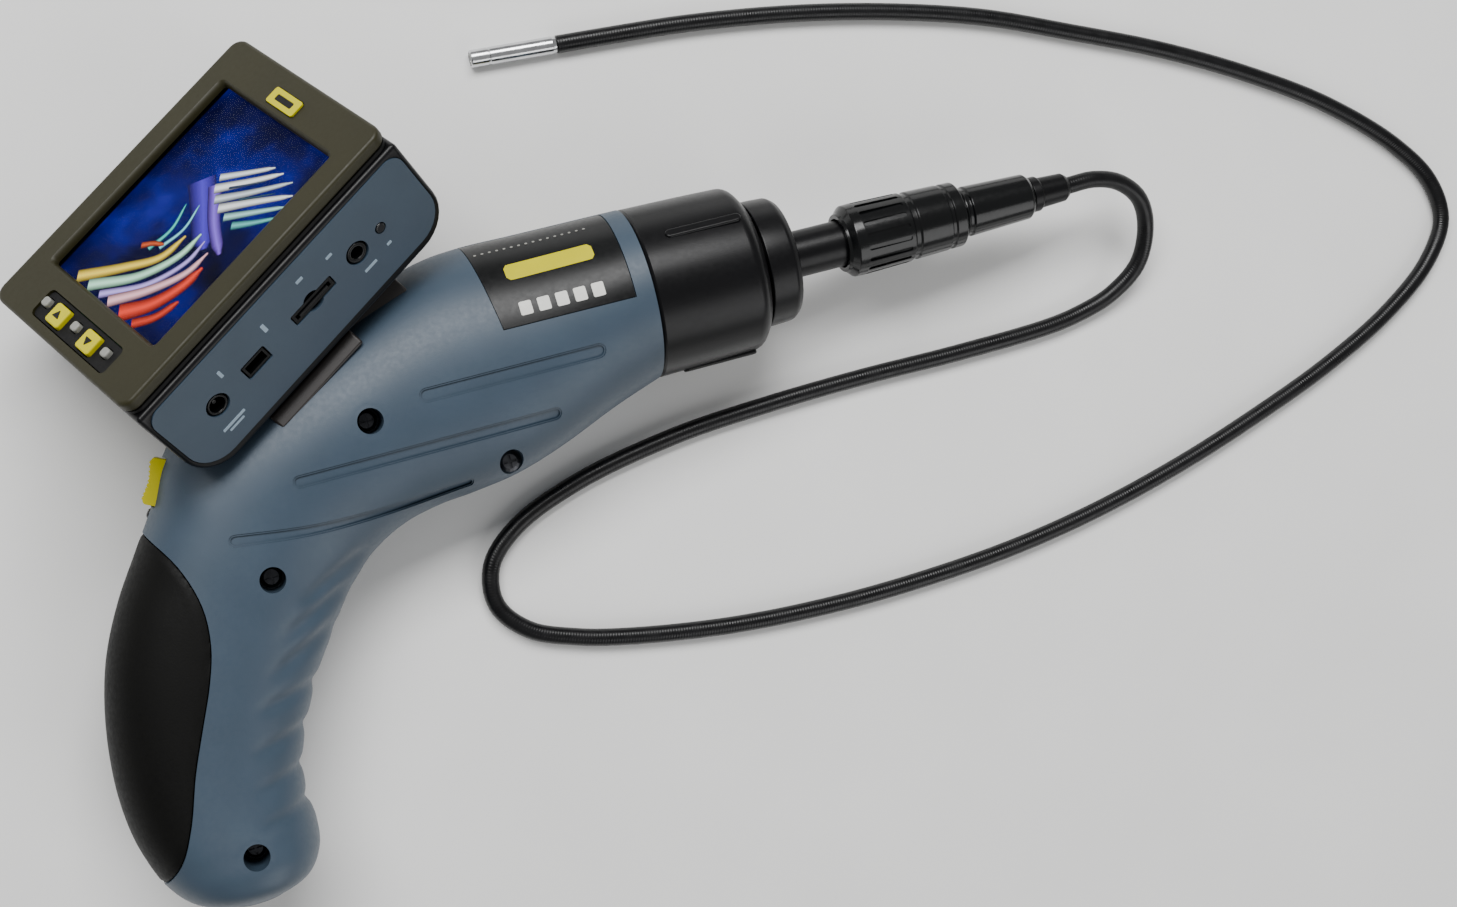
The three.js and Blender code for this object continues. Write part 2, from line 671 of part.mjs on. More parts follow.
function addMonitorFront(monitor) {
  add(monitor, 'monitor_bezel', monitorBezel(), FINISH.khaki);
  add(monitor, 'button_pad', buttonPad(), FINISH.blackPlastic);
  for (const { name, x, y, width, height, finish: key } of KEYS) {
    const cap = prism(roundedRect(width, height, 0.9, x, y), 38, 41.8, 0.4, 2);
    add(monitor, name, cap, FINISH[key]);
  }
  const tag = prism(roundedRect(TAG.width, TAG.height, 0.8, TAG.x, TAG.y), 40.8, 41.5, 0, 3);
  add(monitor, 'brand_tag', tag, FINISH.yellow);
  const window = box([-29, SCREEN_OFFSET - 37, 37.3], [29, SCREEN_OFFSET + 37, 38.4]);
  add(monitor, 'screen_window', window, FINISH.clear);
  const panel = box([-28.5, SCREEN_OFFSET - 36.5, 32.8], [28.5, SCREEN_OFFSET + 36.5, 37]);
  add(monitor, 'lcd_panel', panel, FINISH.screen);
}

function addMonitorInside(monitor) {
  const board = box([-28, -44, 27], [28, 44, 28.6]);
  const chips = [
    box([-12, 8, 28.5], [6, 26, 30.4]),
    box([-24, -30, 28.5], [-10, -20, 30.1]),
    box([-18, -43, 28.5], [18, -39, 31]),
  ];
  add(monitor, 'monitor_board', join(board, ...chips), FINISH.board);
  add(monitor, 'monitor_battery', box([-18, -30, 17.5], [18, 26, 24.5]), FINISH.battery);
}

function addPorts(monitor) {
  const panel = panelPrism(1, 0, PANEL.inner, PANEL.outer);
  add(monitor, 'port_panel', cut(panel, ...portCutters(GAP)), FINISH.shell);
  add(monitor, 'blank_panel', panelPrism(-1, 0, PANEL.inner, PANEL.outer), FINISH.shell);

  const { lamp, video, card, usb, power } = PORTS;
  const lampBar = bar('x', lamp.r, 31, 36.1, [lamp.y, PORT_HEIGHT], 12);
  add(monitor, 'charge_led', lampBar, FINISH.whitePlastic);
  const videoBore = bar('x', 1.9, 25, 40, [video.y, PORT_HEIGHT], 14);
  const videoBody = bar('x', video.r, 22, 35.7, [video.y, PORT_HEIGHT], 20);
  add(monitor, 'video_jack', cut(videoBody, videoBore), FINISH.blackPlastic);
  const powerBore = bar('x', 2.4, 25, 40, [power.y, PORT_HEIGHT], 16);
  const powerBody = bar('x', power.r, 22, 35.7, [power.y, PORT_HEIGHT], 20);
  const pin = bar('x', 0.8, 24, 34, [power.y, PORT_HEIGHT], 10);
  add(monitor, 'power_jack', join(cut(powerBody, powerBore), pin), FINISH.blackPlastic);

  const shellBox = ({ y, length, height }, inset, near, far) => box(
    [near, y - length / 2 + inset, PORT_HEIGHT - height / 2 + inset],
    [far, y + length / 2 - inset, PORT_HEIGHT + height / 2 - inset],
  );
  const usbShell = cut(shellBox(usb, 0, 24, 35.6), shellBox(usb, 0.7, 26, 40));
  add(monitor, 'usb_port', usbShell, FINISH.blackPlastic);
  const slotShell = cut(shellBox(card, 0, 19, 35.6), shellBox(card, 0.9, 20, 40));
  add(monitor, 'card_slot', slotShell, FINISH.blackPlastic);
  const cardPlate = box([20.6, card.y - 5.5, PORT_HEIGHT - 0.4], [36, card.y + 5.5, PORT_HEIGHT + 0.4]);
  add(monitor, 'memory_card', cardPlate, FINISH.label);
}

// ---------------------------------------------------------------- probe

function addConnector(tool) {
  add(tool, 'probe_plug', turned([
    [70, 0], [70, 4.6], [83.6, 4.6], [83.6, 5.4], [119.5, 5.4], [119.5, 0],
  ], 24), FINISH.steel);
  add(tool, 'locking_sleeve', turned([
    [66.5, 7.7], [66.5, 9.2], [69.5, 11.4], [104, 10.6], [106.8, 9.4], [106.8, 5.8],
    [83.2, 5.8], [83.2, 7.7],
  ], 32), FINISH.blackPlastic);
  add(tool, 'rear_sleeve', turned([
    [107.2, 5.7], [107.2, 7.4], [108.6, 8], [129.5, 7.3], [131.5, 6.3], [131.5, 3.2],
    [120, 3.2], [120, 5.7],
  ], 28), FINISH.blackPlastic);
  add(tool, 'ferrule', turned([
    [120.4, 0], [120.4, 2.9], [131.8, 2.9], [131.8, 5.5], [134.6, 5.5], [134.6, 5],
    [143.6, 4.5], [FERRULE_END, 3.7], [FERRULE_END, 0],
  ], 20), FINISH.blackPlastic);
}

function probeCable() {
  const points = PROBE_ROUTE.map(([x, y, height]) => new THREE.Vector3(x, y, TABLE + height));
  const path = new THREE.CatmullRomCurve3(points, false, 'centripetal');
  const section = new THREE.Shape();
  const sides = 10;
  for (let i = 0; i < sides; i += 1) {
    const angle = ((i + 0.5) / sides) * 2 * Math.PI;
    const [x, y] = [Math.cos(angle) * PROBE_R, Math.sin(angle) * PROBE_R];
    if (i === 0) {
      section.moveTo(x, y);
    } else {
      section.lineTo(x, y);
    }
  }
  section.closePath();
  return new THREE.ExtrudeGeometry(section, { steps: 78, extrudePath: path, bevelEnabled: false });
}

function addTip(tool) {
  const tip = new THREE.Group();
  tip.position.set(...TIP_PLACE, TABLE + LYING);
  tip.rotation.z = TIP_TURN;
  tool.add(tip);
  add(tip, 'tip_barrel', turned([
    [0, 0], [0, PROBE_R - 0.3], [0.4, PROBE_R], [TIP_LENGTH - 0.4, PROBE_R],
    [TIP_LENGTH, PROBE_R - 0.3],
    [TIP_LENGTH, 2.1], [TIP_LENGTH - 2, 2.1], [TIP_LENGTH - 2, 0],
  ], 24), FINISH.steel);
  add(tip, 'tip_led_ring', turned([
    [TIP_LENGTH - 1.7, 1.2], [TIP_LENGTH - 1.7, 1.85], [TIP_LENGTH - 0.3, 1.85], [TIP_LENGTH - 0.3, 1.2],
  ], 20), FINISH.whitePlastic);
  add(tip, 'tip_lens', turned([
    [TIP_LENGTH - 1.7, 0], [TIP_LENGTH - 1.7, 0.95], [TIP_LENGTH - 0.4, 0.95], [TIP_LENGTH - 0.1, 0.6],
    [TIP_LENGTH - 0.1, 0],
  ], 16), FINISH.lens);
}

// ---------------------------------------------------------------- assembly

function buildTool() {
  const tool = new THREE.Group();
  tool.position.set(...TOOL_ORIGIN);

  add(tool, 'right_shell', handsetShell(1), FINISH.shell);
  add(tool, 'left_shell', handsetShell(-1), FINISH.shell);
  SCREW_PLACES.forEach((place, i) => {
    add(tool, `shell_screw_${i + 1}`, screw(place), FINISH.zinc);
  });
  add(tool, 'right_label', labelPlate(1), FINISH.label);
  add(tool, 'left_label', labelPlate(-1), FINISH.label);
  add(tool, 'grip_pad', gripPad(), FINISH.blackRubber);
  add(tool, 'battery_door', batteryDoor(), FINISH.blackPlastic);
  add(tool, 'nose_cap', noseCap(), FINISH.blackPlastic);
  add(tool, 'nose_ring', noseRing(), FINISH.blackPlastic);
  add(tool, 'probe_socket', probeSocket(), FINISH.blackPlastic);
  add(tool, 'thumb_rocker', rockerBlock(0, ROCKER.depth, 1), FINISH.yellow);
  add(tool, 'status_led', ledBar(1.6, -4, 0.6), FINISH.label);
  addElectronics(tool);
  addBatteryPack(tool);
  add(tool, 'dock_base', dockBase(), FINISH.blackPlastic);

  const monitor = new THREE.Group();
  monitor.applyMatrix4(dockMatrix);
  monitor.rotateY(MONITOR_ROLL);
  tool.add(monitor);
  add(monitor, 'dock_shoe', dockShoe(), FINISH.blackPlastic);
  add(monitor, 'monitor_housing', monitorHousing(), FINISH.blackPlastic);
  add(monitor, 'monitor_gasket', monitorGasket(), FINISH.blackRubber);
  addMonitorFront(monitor);
  addMonitorInside(monitor);
  addPorts(monitor);

  addConnector(tool);
  add(tool, 'probe_cable', probeCable(), FINISH.blackRubber);
  addTip(tool);
  return tool;
}

const group = new THREE.Group();
group.add(buildTool());

export default group;
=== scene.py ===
import json
import math
from contextlib import contextmanager

import bmesh
import bpy
from mathutils import Matrix, Vector
from mathutils.bvhtree import BVHTree


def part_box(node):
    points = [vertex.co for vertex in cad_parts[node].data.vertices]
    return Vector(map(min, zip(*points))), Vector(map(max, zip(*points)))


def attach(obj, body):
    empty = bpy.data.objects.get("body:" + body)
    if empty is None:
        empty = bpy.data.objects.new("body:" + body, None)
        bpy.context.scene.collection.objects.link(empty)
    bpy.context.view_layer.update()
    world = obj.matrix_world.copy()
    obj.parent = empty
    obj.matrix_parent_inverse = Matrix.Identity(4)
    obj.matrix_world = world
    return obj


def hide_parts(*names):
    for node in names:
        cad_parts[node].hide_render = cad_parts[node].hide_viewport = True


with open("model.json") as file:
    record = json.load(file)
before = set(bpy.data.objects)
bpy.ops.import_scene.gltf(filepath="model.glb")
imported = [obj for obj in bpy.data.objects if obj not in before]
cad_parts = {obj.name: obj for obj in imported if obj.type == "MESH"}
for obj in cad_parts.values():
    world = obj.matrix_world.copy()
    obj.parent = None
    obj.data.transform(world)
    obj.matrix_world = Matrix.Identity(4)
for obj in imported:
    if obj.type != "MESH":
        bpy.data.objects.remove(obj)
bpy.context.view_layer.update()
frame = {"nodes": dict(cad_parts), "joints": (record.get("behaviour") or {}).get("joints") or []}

# Looks for a pistol-grip inspection camera that lies on its left side.
# Shapes are drawn in millimetres in a local frame, as in the CAD, and a matrix takes them
# to the part's frame in metres: TOOL has its x along the barrel, MONITOR its z out of the
# screen, and DOCK its y along the swivel axis.

MM = 0.001
JOINTS = {joint["name"]: joint for joint in frame["joints"]}
NOSE_FRONT = 47.7  # the nose ring's front face, from the tool frame's origin
BARREL_R = 26.0


def tool_matrix():
    low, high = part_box("nose_ring")
    origin = Vector((high.x - NOSE_FRONT * MM, (low.y + high.y) / 2, (low.z + high.z) / 2))
    return Matrix.Translation(origin) @ Matrix.Scale(MM, 4)


def swivel_matrix(across):
    along = Vector(JOINTS["monitor_swivel"]["axis"]).normalized()
    matrix = Matrix((across, along, across.cross(along))).transposed().to_4x4()
    matrix.translation = Vector(JOINTS["monitor_swivel"]["pos_m"])
    return matrix @ Matrix.Scale(MM, 4)


TOOL = tool_matrix()
DOCK = swivel_matrix(Vector((0, 0, 1)))
MONITOR = swivel_matrix(Vector(JOINTS["memory_card_slide"]["axis"]).normalized())

# --- dimensions, mm

WALL = 2.6
SPLIT = 0.14  # half the gap between the two shells
SIDE_REACH = 40  # from the middle plane to well past the body's side
SIDES = {1: "right", -1: "left"}

# Body sections: top x, top y, bottom x, bottom y, half width, roundness power.
BODY = [
    (0, 26, 0, -26, 26, 2),
    (-16, 26, -15, -31, 26, 2),
    (-33, 26, -33, -38, 26, 2.05),
    (-49, 26, -48, -42.5, 25.8, 2.1),
    (-62, 24.5, -62, -44.5, 25.4, 2.1),
    (-78, 19.5, -73, -45.5, 25, 2.1),
    (-98, 12.5, -84, -48, 24.6, 2),
    (-118, 5.5, -94, -53, 23.6, 1.95),
    (-135, -1.5, -102, -60, 22.8, 1.95),
    (-145.5, -12, -108, -67, 22.4, 2.05),
    (-151.5, -24, -113, -74, 22.3, 2.2),
    (-159.5, -36, -118, -81, 21.8, 2.25),
    (-168, -49, -122, -88, 21.8, 2.3),
    (-175, -63.5, -125.5, -95, 22, 2.3),
    (-179.5, -80, -128.5, -102, 22.3, 2.3),
    (-181.5, -97, -130.5, -109.5, 22.8, 2.3),
    (-181, -111, -131, -117, 23.6, 2.3),
    (-178.5, -122, -130.5, -124, 24.6, 2.3),
    (-175, -130, -131.5, -131, 25, 2.3),
    (-169.5, -136, -135.5, -137, 22, 2.3),
    (-160, -140.5, -143, -140.5, 12, 2.2),
]
BODY_SIDES = 168
BODY_STEP = 1.0
SOLID_ROWS = 12  # rows at the butt that the hollow leaves solid

STRAP_EDGE = [
    (-156.5, -30.5), (-149, -42), (-145.5, -54), (-146, -65), (-149, -75),
    (-154, -86.5), (-159, -98), (-164, -112), (-169, -121.5), (-176.5, -128.5),
]
STRAP_THICKNESS = 2.2
STRAP_ROLL = 0.55
STRAP_ROLL_WIDTH = 1.8
STRAP_GAP = 0.35
DOOR_DEPTHS = (2.5, 4.2)  # outer and inner faces of the door, below the body's surface

SCREWS = [(-88, -16), (-125, -52), (-51, -38), (-149, -125)]
BOSS_R = 5.2
BOSS_INSET = 0.05  # the bosses stop this far below the body's surface
RECESS_R = 3.7
RECESS_FLOOR = 8  # from the middle plane
SCREW_HOLE_R = 1.9
DIMPLE_DEPTH = 0.35
DIMPLE_EDGE = (3.6, 4.8)  # radii between which it fades out
DIMPLE_REACH = 10  # no dip is nearer to the middle plane
GROOVES = [  # points on the middle line, width at the start and at the end
    ([(-71, -13), (-20, -13)], 4.4, 4.4),
    ([(-111, -27.5), (-36, -27.5)], 3.8, 3.8),
    ([(-132, -38.8), (-110, -41.6), (-88, -42), (-64, -40.6)], 3.6, 2.4),
]
GROOVE_STEPS = [(0, 0.35), (-1, 0.95)]  # change of width, and depth
UPPER_IN = Vector((-0.83, -0.35)).normalized()
LOWER_IN = Vector((-1, -0.12)).normalized()
FINGER_LINES = [  # a point on each scallop, and its direction into the grip
    ((-107, -56), UPPER_IN), ((-115, -64.5), UPPER_IN), ((-121, -74), UPPER_IN),
    ((-126, -85.5), LOWER_IN), ((-130, -96.5), LOWER_IN), ((-132, -107), LOWER_IN),
    ((-133.5, -117), LOWER_IN),
]
GRIP_LEFT, GRIP_LOW, GRIP_TOP = -160, -128, -44  # where the scallops may reach
FINGER_FRONT = (-14, -6)  # a scallop grows to its full depth between these
FINGER_BACK = (5, 15)  # and fades out between these
FINGER_DEPTH = 1.1
FINGER_WIDTH = 2.1
LABEL_OUTLINE = [(-45.2, -0.4), (-5.8, -0.4), (-5.8, 40), (-50.5, 40)]
LABEL_SUNK = 0.15  # the film's face below the body's surface
LABEL_BACK = 0.9
LABEL_GAP = 0.25
LABEL_EDGE = 1.5  # the film's edge beside the split, from the middle plane
POCKET_EDGE = 1.2
POCKET_DEPTH = 1.1
MARK_RISE = 0.12
MARK_ROOT = 0.1
PATCH_COLUMNS = 28
PATCH_LINES = 8

# Probe route: tool frame x and y, with the height of its centre line above the table.
PROBE_D = 5.5
LYING = PROBE_D / 2 + 0.05
CABLE_SIDES = 18
CABLE_STEP = 2.2
SHEATH_RIB = 1.4
PROBE_DROP = [
    (145.3, 0, 26), (155, 0, 25.6), (165, -3, 23), (173, -10, 18.5), (175.5, -20, 13),
    (172, -31, 8), (162, -38.5, 4.2),
]
PROBE_LYING = [
    (150, -42), (138, -43.5), (104, -44), (71, -43.5), (39, -44), (6, -46), (-28, -52),
    (-50, -60.5), (-60, -70), (-61.5, -82), (-54, -92), (-40, -98.5), (-24, -103), (9, -109),
    (43, -112), (75, -112.5), (108, -111), (140, -107), (174, -100), (205, -91.5), (237, -81),
    (264, -69), (283, -56), (292, -43), (290.5, -29), (280, -14), (258, 5), (232, 21),
    (202, 36), (170, 49), (141, 60), (109, 68.5), (77, 74.5), (43, 78.5), (17, 80),
    (0.6, 80.7),
]
PROBE_ROUTE = PROBE_DROP + [(x, y, LYING) for x, y in PROBE_LYING]
HEAD_PLACE = (0.2, 80.72)
HEAD_TURN = 177.5  # degrees from the barrel's direction

# --- lines and outlines


def spline(points, step):
    """A centripetal Catmull-Rom line through the points, with a point about every step."""
    points = [Vector(p) for p in points]
    ends = [2 * points[0] - points[1], *points, 2 * points[-1] - points[-2]]
    line = []
    for corners in zip(ends, ends[1:], ends[2:], ends[3:]):
        count = max(2, round((corners[2] - corners[1]).length / step))
        line += [centripetal_point(*corners, i / count) for i in range(count)]
    return line + [points[-1]]


def centripetal_point(a, b, c, d, share):
    t1 = math.sqrt((b - a).length)
    t2 = t1 + math.sqrt((c - b).length)
    t3 = t2 + math.sqrt((d - c).length)
    t = t1 + share * (t2 - t1)
    ab = a.lerp(b, t / t1)
    bc = b.lerp(c, (t - t1) / (t2 - t1))
    cd = c.lerp(d, (t - t2) / (t3 - t2))
    return ab.lerp(bc, t / t2).lerp(bc.lerp(cd, (t - t1) / (t3 - t1)), share)


def directions(line):
    """The unit direction along a line at each of its points."""
    ahead = line[1:] + line[-1:]
    behind = line[:1] + line[:-1]
    return [(a - b).normalized() for a, b in zip(ahead, behind)]


def left_normals(line):
    """The unit direction to the left of a 2D line at each of its points."""
    return [Vector((-along.y, along.x)) for along in directions(line)]


def distance_to_line(point, line):
    """Distance from a 2D point to a polyline."""
    best = math.inf
    for a, b in zip(line, line[1:]):
        along = b - a
        share = max(0.0, min(1.0, (point - a).dot(along) / along.length_squared))
        best = min(best, (point - a - along * share).length)
    return best


def filleted(corners, steps=5):
    """A closed 2D outline from corners (x, y, radius), each rounded by its radius."""
    outline = []
    for i, (x, y, radius) in enumerate(corners):
        here = Vector((x, y))
        before = Vector(corners[i - 1][:2]) - here
        after = Vector(corners[(i + 1) % len(corners)][:2]) - here
        if radius <= 0:
            outline.append(here)
            continue
        before.normalize()
        after.normalize()
        half = math.acos(max(-1.0, min(1.0, before.dot(after)))) / 2
        centre = here + (before + after).normalized() * (radius / math.sin(half))
        start = here + before * (radius / math.tan(half)) - centre
        end = here + after * (radius / math.tan(half)) - centre
        turn = start.angle_signed(end)
        for j in range(steps + 1):
            outline.append(centre + Matrix.Rotation(-turn * j / steps, 2) @ start)
    return outline


def rectangle(x, y, width, height, radius):
    left, right = x - width / 2, x + width / 2
    low, high = y - height / 2, y + height / 2
    corners = ((left, low), (right, low), (right, high), (left, high))
    return filleted([(*corner, radius) for corner in corners])


def stroke_outline(points, start_width, end_width):
    """A smooth stroke with round ends whose width changes evenly along it."""
    line = spline(points, 4)
    left, right = [], []
    for i, (point, normal) in enumerate(zip(line, left_normals(line))):
        half = normal * (start_width + (end_width - start_width) * i / (len(line) - 1)) / 2
        left.append(point + half)
        right.insert(0, point - half)
    return left + half_turn(line[-1], left[-1]) + right + half_turn(line[0], right[-1])


def half_turn(centre, start, steps=10):
    """Points clockwise round the centre, between the start and the point across from it."""
    turns = (Matrix.Rotation(-math.pi * i / steps, 2) for i in range(1, steps))
    return [centre + turn @ (start - centre) for turn in turns]


def circle(x, y, radius, count=40):
    angles = (2 * math.pi * i / count for i in range(count))
    return [Vector((x + radius * math.cos(a), y + radius * math.sin(a))) for a in angles]


def smoothstep(low, high, value):
    t = max(0.0, min(1.0, (value - low) / (high - low)))
    return t * t * (3 - 2 * t)


# --- meshes

WELD = 1e-6  # metres

def add_object(name, data):
    made = bpy.data.objects.new(name, data)
    bpy.context.scene.collection.objects.link(made)
    return made


def new_mesh(name, vertices, faces, matrix=None):
    mesh = bpy.data.meshes.new(name)
    mesh.from_pydata([tuple(v) for v in vertices], [], faces)
    if matrix is not None:
        mesh.transform(matrix)
    return add_object(name, mesh)


@contextmanager
def mesh_edit(piece):
    """The piece's mesh as a bmesh, which is written back at the end."""
    work = bmesh.new()
    work.from_mesh(piece.data)
    yield work
    work.to_mesh(piece.data)
    work.free()


def outward(piece):
    with mesh_edit(piece) as work:
        bmesh.ops.recalc_face_normals(work, faces=work.faces)
    return piece


def modify(piece, kind, **settings):
    """Add one modifier and apply it."""
    modifier = piece.modifiers.new(kind, kind)
    for key, value in settings.items():
        setattr(modifier, key, value)
    graph = bpy.context.evaluated_depsgraph_get()
    made = bpy.data.meshes.new_from_object(piece.evaluated_get(graph))
    piece.modifiers.clear()
    piece.data = made
    return piece


def combine(piece, tool, operation="DIFFERENCE", keep=False):
    modify(piece, "BOOLEAN", object=tool, operation=operation, solver="MANIFOLD")
    if not keep:
        bpy.data.objects.remove(tool)


def bevelled(piece, width, segments=3, angle=35):
    return modify(piece, "BEVEL", width=width * MM, segments=segments, limit_method="ANGLE",
                  angle_limit=math.radians(angle))


def soften(piece, angle):
    """Smooth shading that keeps large faces flat, except across edges sharper than the angle."""
    with mesh_edit(piece) as work:
        for face in work.faces:
            face.smooth = True
        for edge in work.edges:
            if len(edge.link_faces) == 2:
                edge.smooth = edge.calc_face_angle(0) < math.radians(angle)
    modify(piece, "WEIGHTED_NORMAL", keep_sharp=True)


def stacked(name, rings, matrix=None, closed=True):
    """A skin over rings of equally many points, with flat ends when closed."""
    count = len(rings[0])
    vertices = [v for ring in rings for v in ring]
    faces = []
    for i in range(len(rings) - 1):
        for j in range(count):
            k = (j + 1) % count
            a, b = i * count, (i + 1) * count
            faces.append((a + j, a + k, b + k, b + j))
    if closed:
        faces.append(tuple(range(count))[::-1])
        faces.append(tuple(range(len(vertices) - count, len(vertices))))
    return outward(new_mesh(name, vertices, faces, matrix))


def prism(name, outline, low, high, matrix):
    rings = [[(p.x, p.y, z) for p in outline] for z in (low, high)]
    return stacked(name, rings, matrix)


def lathe(name, corners, segments, matrix=TOOL):
    """A turned piece about x, from a closed profile of (x, radius, fillet)."""
    profile = filleted(corners, steps=4)
    rings = []
    for i in range(segments):
        turn = Matrix.Rotation(2 * math.pi * i / segments, 3, "X")
        rings.append([turn @ Vector((p.x, 0, p.y)) for p in profile])
    rings.append(rings[0])
    piece = stacked(name, rings, matrix, closed=False)
    with mesh_edit(piece) as work:
        bmesh.ops.remove_doubles(work, verts=work.verts, dist=WELD)
        bmesh.ops.dissolve_degenerate(work, edges=work.edges, dist=WELD / 2)
    return outward(piece)


def block(name, low, high, matrix):
    outline = [Vector(p) for p in (low[:2], (high[0], low[1]), high[:2], (low[0], high[1]))]
    return prism(name, outline, low[2], high[2], matrix)


def settle(piece, material, body, node=None, angle=32):
    """Last step for a piece: shading, finish, the body it rides on, and what it stands for."""
    soften(piece, angle)
    piece.data.materials.clear()
    piece.data.materials.append(material)
    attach(piece, body)
    if node:
        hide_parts(node)


# --- materials

NOISE_SPAN = (0.3, 0.7)  # where most of a noise texture's values lie
UNLIT = {"Base_Color": (0, 0, 0, 1), "Roughness": 0.4, "Specular_IOR_Level": 0.05}


def linear(hex_colour):
    """Linear RGBA from an sRGB hex colour."""
    channels = [(hex_colour >> shift & 255) / 255 for shift in (16, 8, 0)]
    return (*[c / 12.92 if c <= 0.04045 else ((c + 0.055) / 1.055) ** 2.4 for c in channels], 1)


def shade(colour, factor):
    return (*[channel * factor for channel in colour[:3]], 1)


class Finish:
    """Builds one node material around a Principled shader, with object coordinates."""

    def __init__(self, name, **inputs):
        self.material = bpy.data.materials.new(name)
        self.material.use_nodes = True
        self.tree = self.material.node_tree
        self.shader = self.tree.nodes["Principled BSDF"]
        for key, value in inputs.items():
            self.shader.inputs[key.replace("_", " ")].default_value = value
        self.place = self.node("TexCoord").outputs["Object"]

    def node(self, kind, inputs=None, **settings):
        made = self.tree.nodes.new("ShaderNode" + kind)
        for key, value in settings.items():
            setattr(made, key, value)
        for key, value in (inputs or {}).items():
            made.inputs[key].default_value = value
        return made

    def link(self, source, target):
        self.tree.links.new(source, target)

    def noise(self, size_mm, detail, roughness=0.5):
        inputs = {"Scale": 1 / (size_mm * MM), "Detail": detail, "Roughness": roughness}
        made = self.node("TexNoise", inputs)
        self.link(self.place, made.inputs["Vector"])
        return made.outputs["Fac"]

    def ramp(self, source, stops):
        made = self.node("ValToRGB")
        elements = made.color_ramp.elements
        while len(elements) < len(stops):
            elements.new(0.5)
        for element, (position, colour) in zip(elements, stops):
            element.position = position
            element.color = colour
        self.link(source, made.inputs["Fac"])
        return made.outputs["Color"]

    def colour(self, source, hex_colour, dark, light):
        colour = linear(hex_colour)
        stops = list(zip(NOISE_SPAN, (shade(colour, dark), shade(colour, light))))
        self.link(self.ramp(source, stops), self.shader.inputs["Base Color"])

    def roughness(self, source, low, high):
        start, end = NOISE_SPAN
        inputs = {"From Min": start, "From Max": end, "To Min": low, "To Max": high}
        made = self.node("MapRange", inputs)
        self.link(source, made.inputs["Value"])
        self.link(made.outputs["Result"], self.shader.inputs["Roughness"])

    def bump(self, source, depth_mm):
        made = self.node("Bump", {"Strength": 1.0, "Distance": depth_mm * MM})
        self.link(source, made.inputs["Height"])
        self.link(made.outputs["Normal"], self.shader.inputs["Normal"])

    def glow(self, colour, strength):
        self.link(colour, self.shader.inputs["Emission Color"])
        self.shader.inputs["Emission Strength"].default_value = strength


def moulded(name, hex_colour, low, high, grain=0.3, depth=0.014, vary=0.06, gloss=0.5, coat=0):
    """Moulded plastic or rubber: fine spark-eroded grain with slightly uneven gloss."""
    finish = Finish(name, Specular_IOR_Level=gloss, Coat_Weight=coat)
    finish.colour(finish.noise(14, 4), hex_colour, 1 - vary, 1 + vary)
    finish.roughness(finish.noise(1.3, 3), low, high)
    finish.bump(finish.noise(grain, 2), depth)
    return finish.material


def metal(name, hex_colour, low, high):
    """Turned metal: very fine tool marks and slightly uneven polish."""
    finish = Finish(name, Metallic=1.0)
    finish.colour(finish.noise(6, 4), hex_colour, 0.88, 1.06)
    finish.roughness(finish.noise(2.5, 4), low, high)
    finish.bump(finish.noise(0.15, 3), 0.002)
    return finish.material


def circuit():
    """Green lacquer over square-cornered copper areas."""
    finish = Finish("circuit_board", Roughness=0.45)
    voronoi = finish.node("TexVoronoi", {"Scale": 1 / (3.2 * MM)}, distance="CHEBYCHEV")
    finish.link(finish.place, voronoi.inputs["Vector"])
    stops = [(0.25, linear(0x0F4A2A)), (0.3, linear(0x1D7A45)), (0.6, linear(0x176338))]
    finish.link(finish.ramp(voronoi.outputs["Distance"], stops), finish.shader.inputs["Base Color"])
    finish.bump(voronoi.outputs["Distance"], 0.05)
    return finish.material


def cable_sheath():
    """Black sheath with a fine helical rib; the UV map runs round and along the cable."""
    finish = Finish("cable_sheath", Specular_IOR_Level=0.35)
    finish.colour(finish.noise(9, 3), 0x08080A, 0.8, 1.3)
    finish.roughness(finish.noise(4, 4), 0.26, 0.42)
    wave = finish.node("TexWave", {"Scale": 1.0, "Distortion": 0.0}, wave_type="BANDS",
                       bands_direction="DIAGONAL")
    finish.link(finish.node("UVMap").outputs["UV"], wave.inputs["Vector"])
    finish.bump(wave.outputs["Fac"], 0.03)
    return finish.material


def picture_back():
    """Lit background of the screen picture: deep blue with a violet glow."""
    finish = Finish("screen_picture", **UNLIT)
    stops = [
        (0.3, linear(0x02021E)), (0.48, linear(0x060852)), (0.62, linear(0x0D1188)),
        (0.8, linear(0x2A2EC4)),
    ]
    finish.glow(finish.ramp(finish.noise(22, 3, 0.6), stops), 0.9)
    return finish.material


def lit(name, hex_colour):
    """A lit stroke of the screen picture, shaded across its width like a round wire."""
    finish = Finish(name, **UNLIT)
    colour = linear(hex_colour)
    split = finish.node("SeparateXYZ")
    finish.link(finish.node("UVMap").outputs["UV"], split.inputs["Vector"])
    stops = [
        (0.0, shade(colour, 0.12)), (0.25, shade(colour, 0.75)), (0.5, shade(colour, 1.25)),
        (0.75, shade(colour, 0.6)), (1.0, shade(colour, 0.08)),
    ]
    finish.glow(finish.ramp(split.outputs["X"], stops), 1.5)
    return finish.material


def clear_window():
    """A thin, almost invisible cover with a little gloss."""
    finish = Finish("clear_window", Base_Color=(0.01, 0.01, 0.015, 1), Roughness=0.06,
                    Specular_IOR_Level=0.2, Alpha=0.06)
    finish.bump(finish.noise(12, 2), 0.002)
    return finish.material


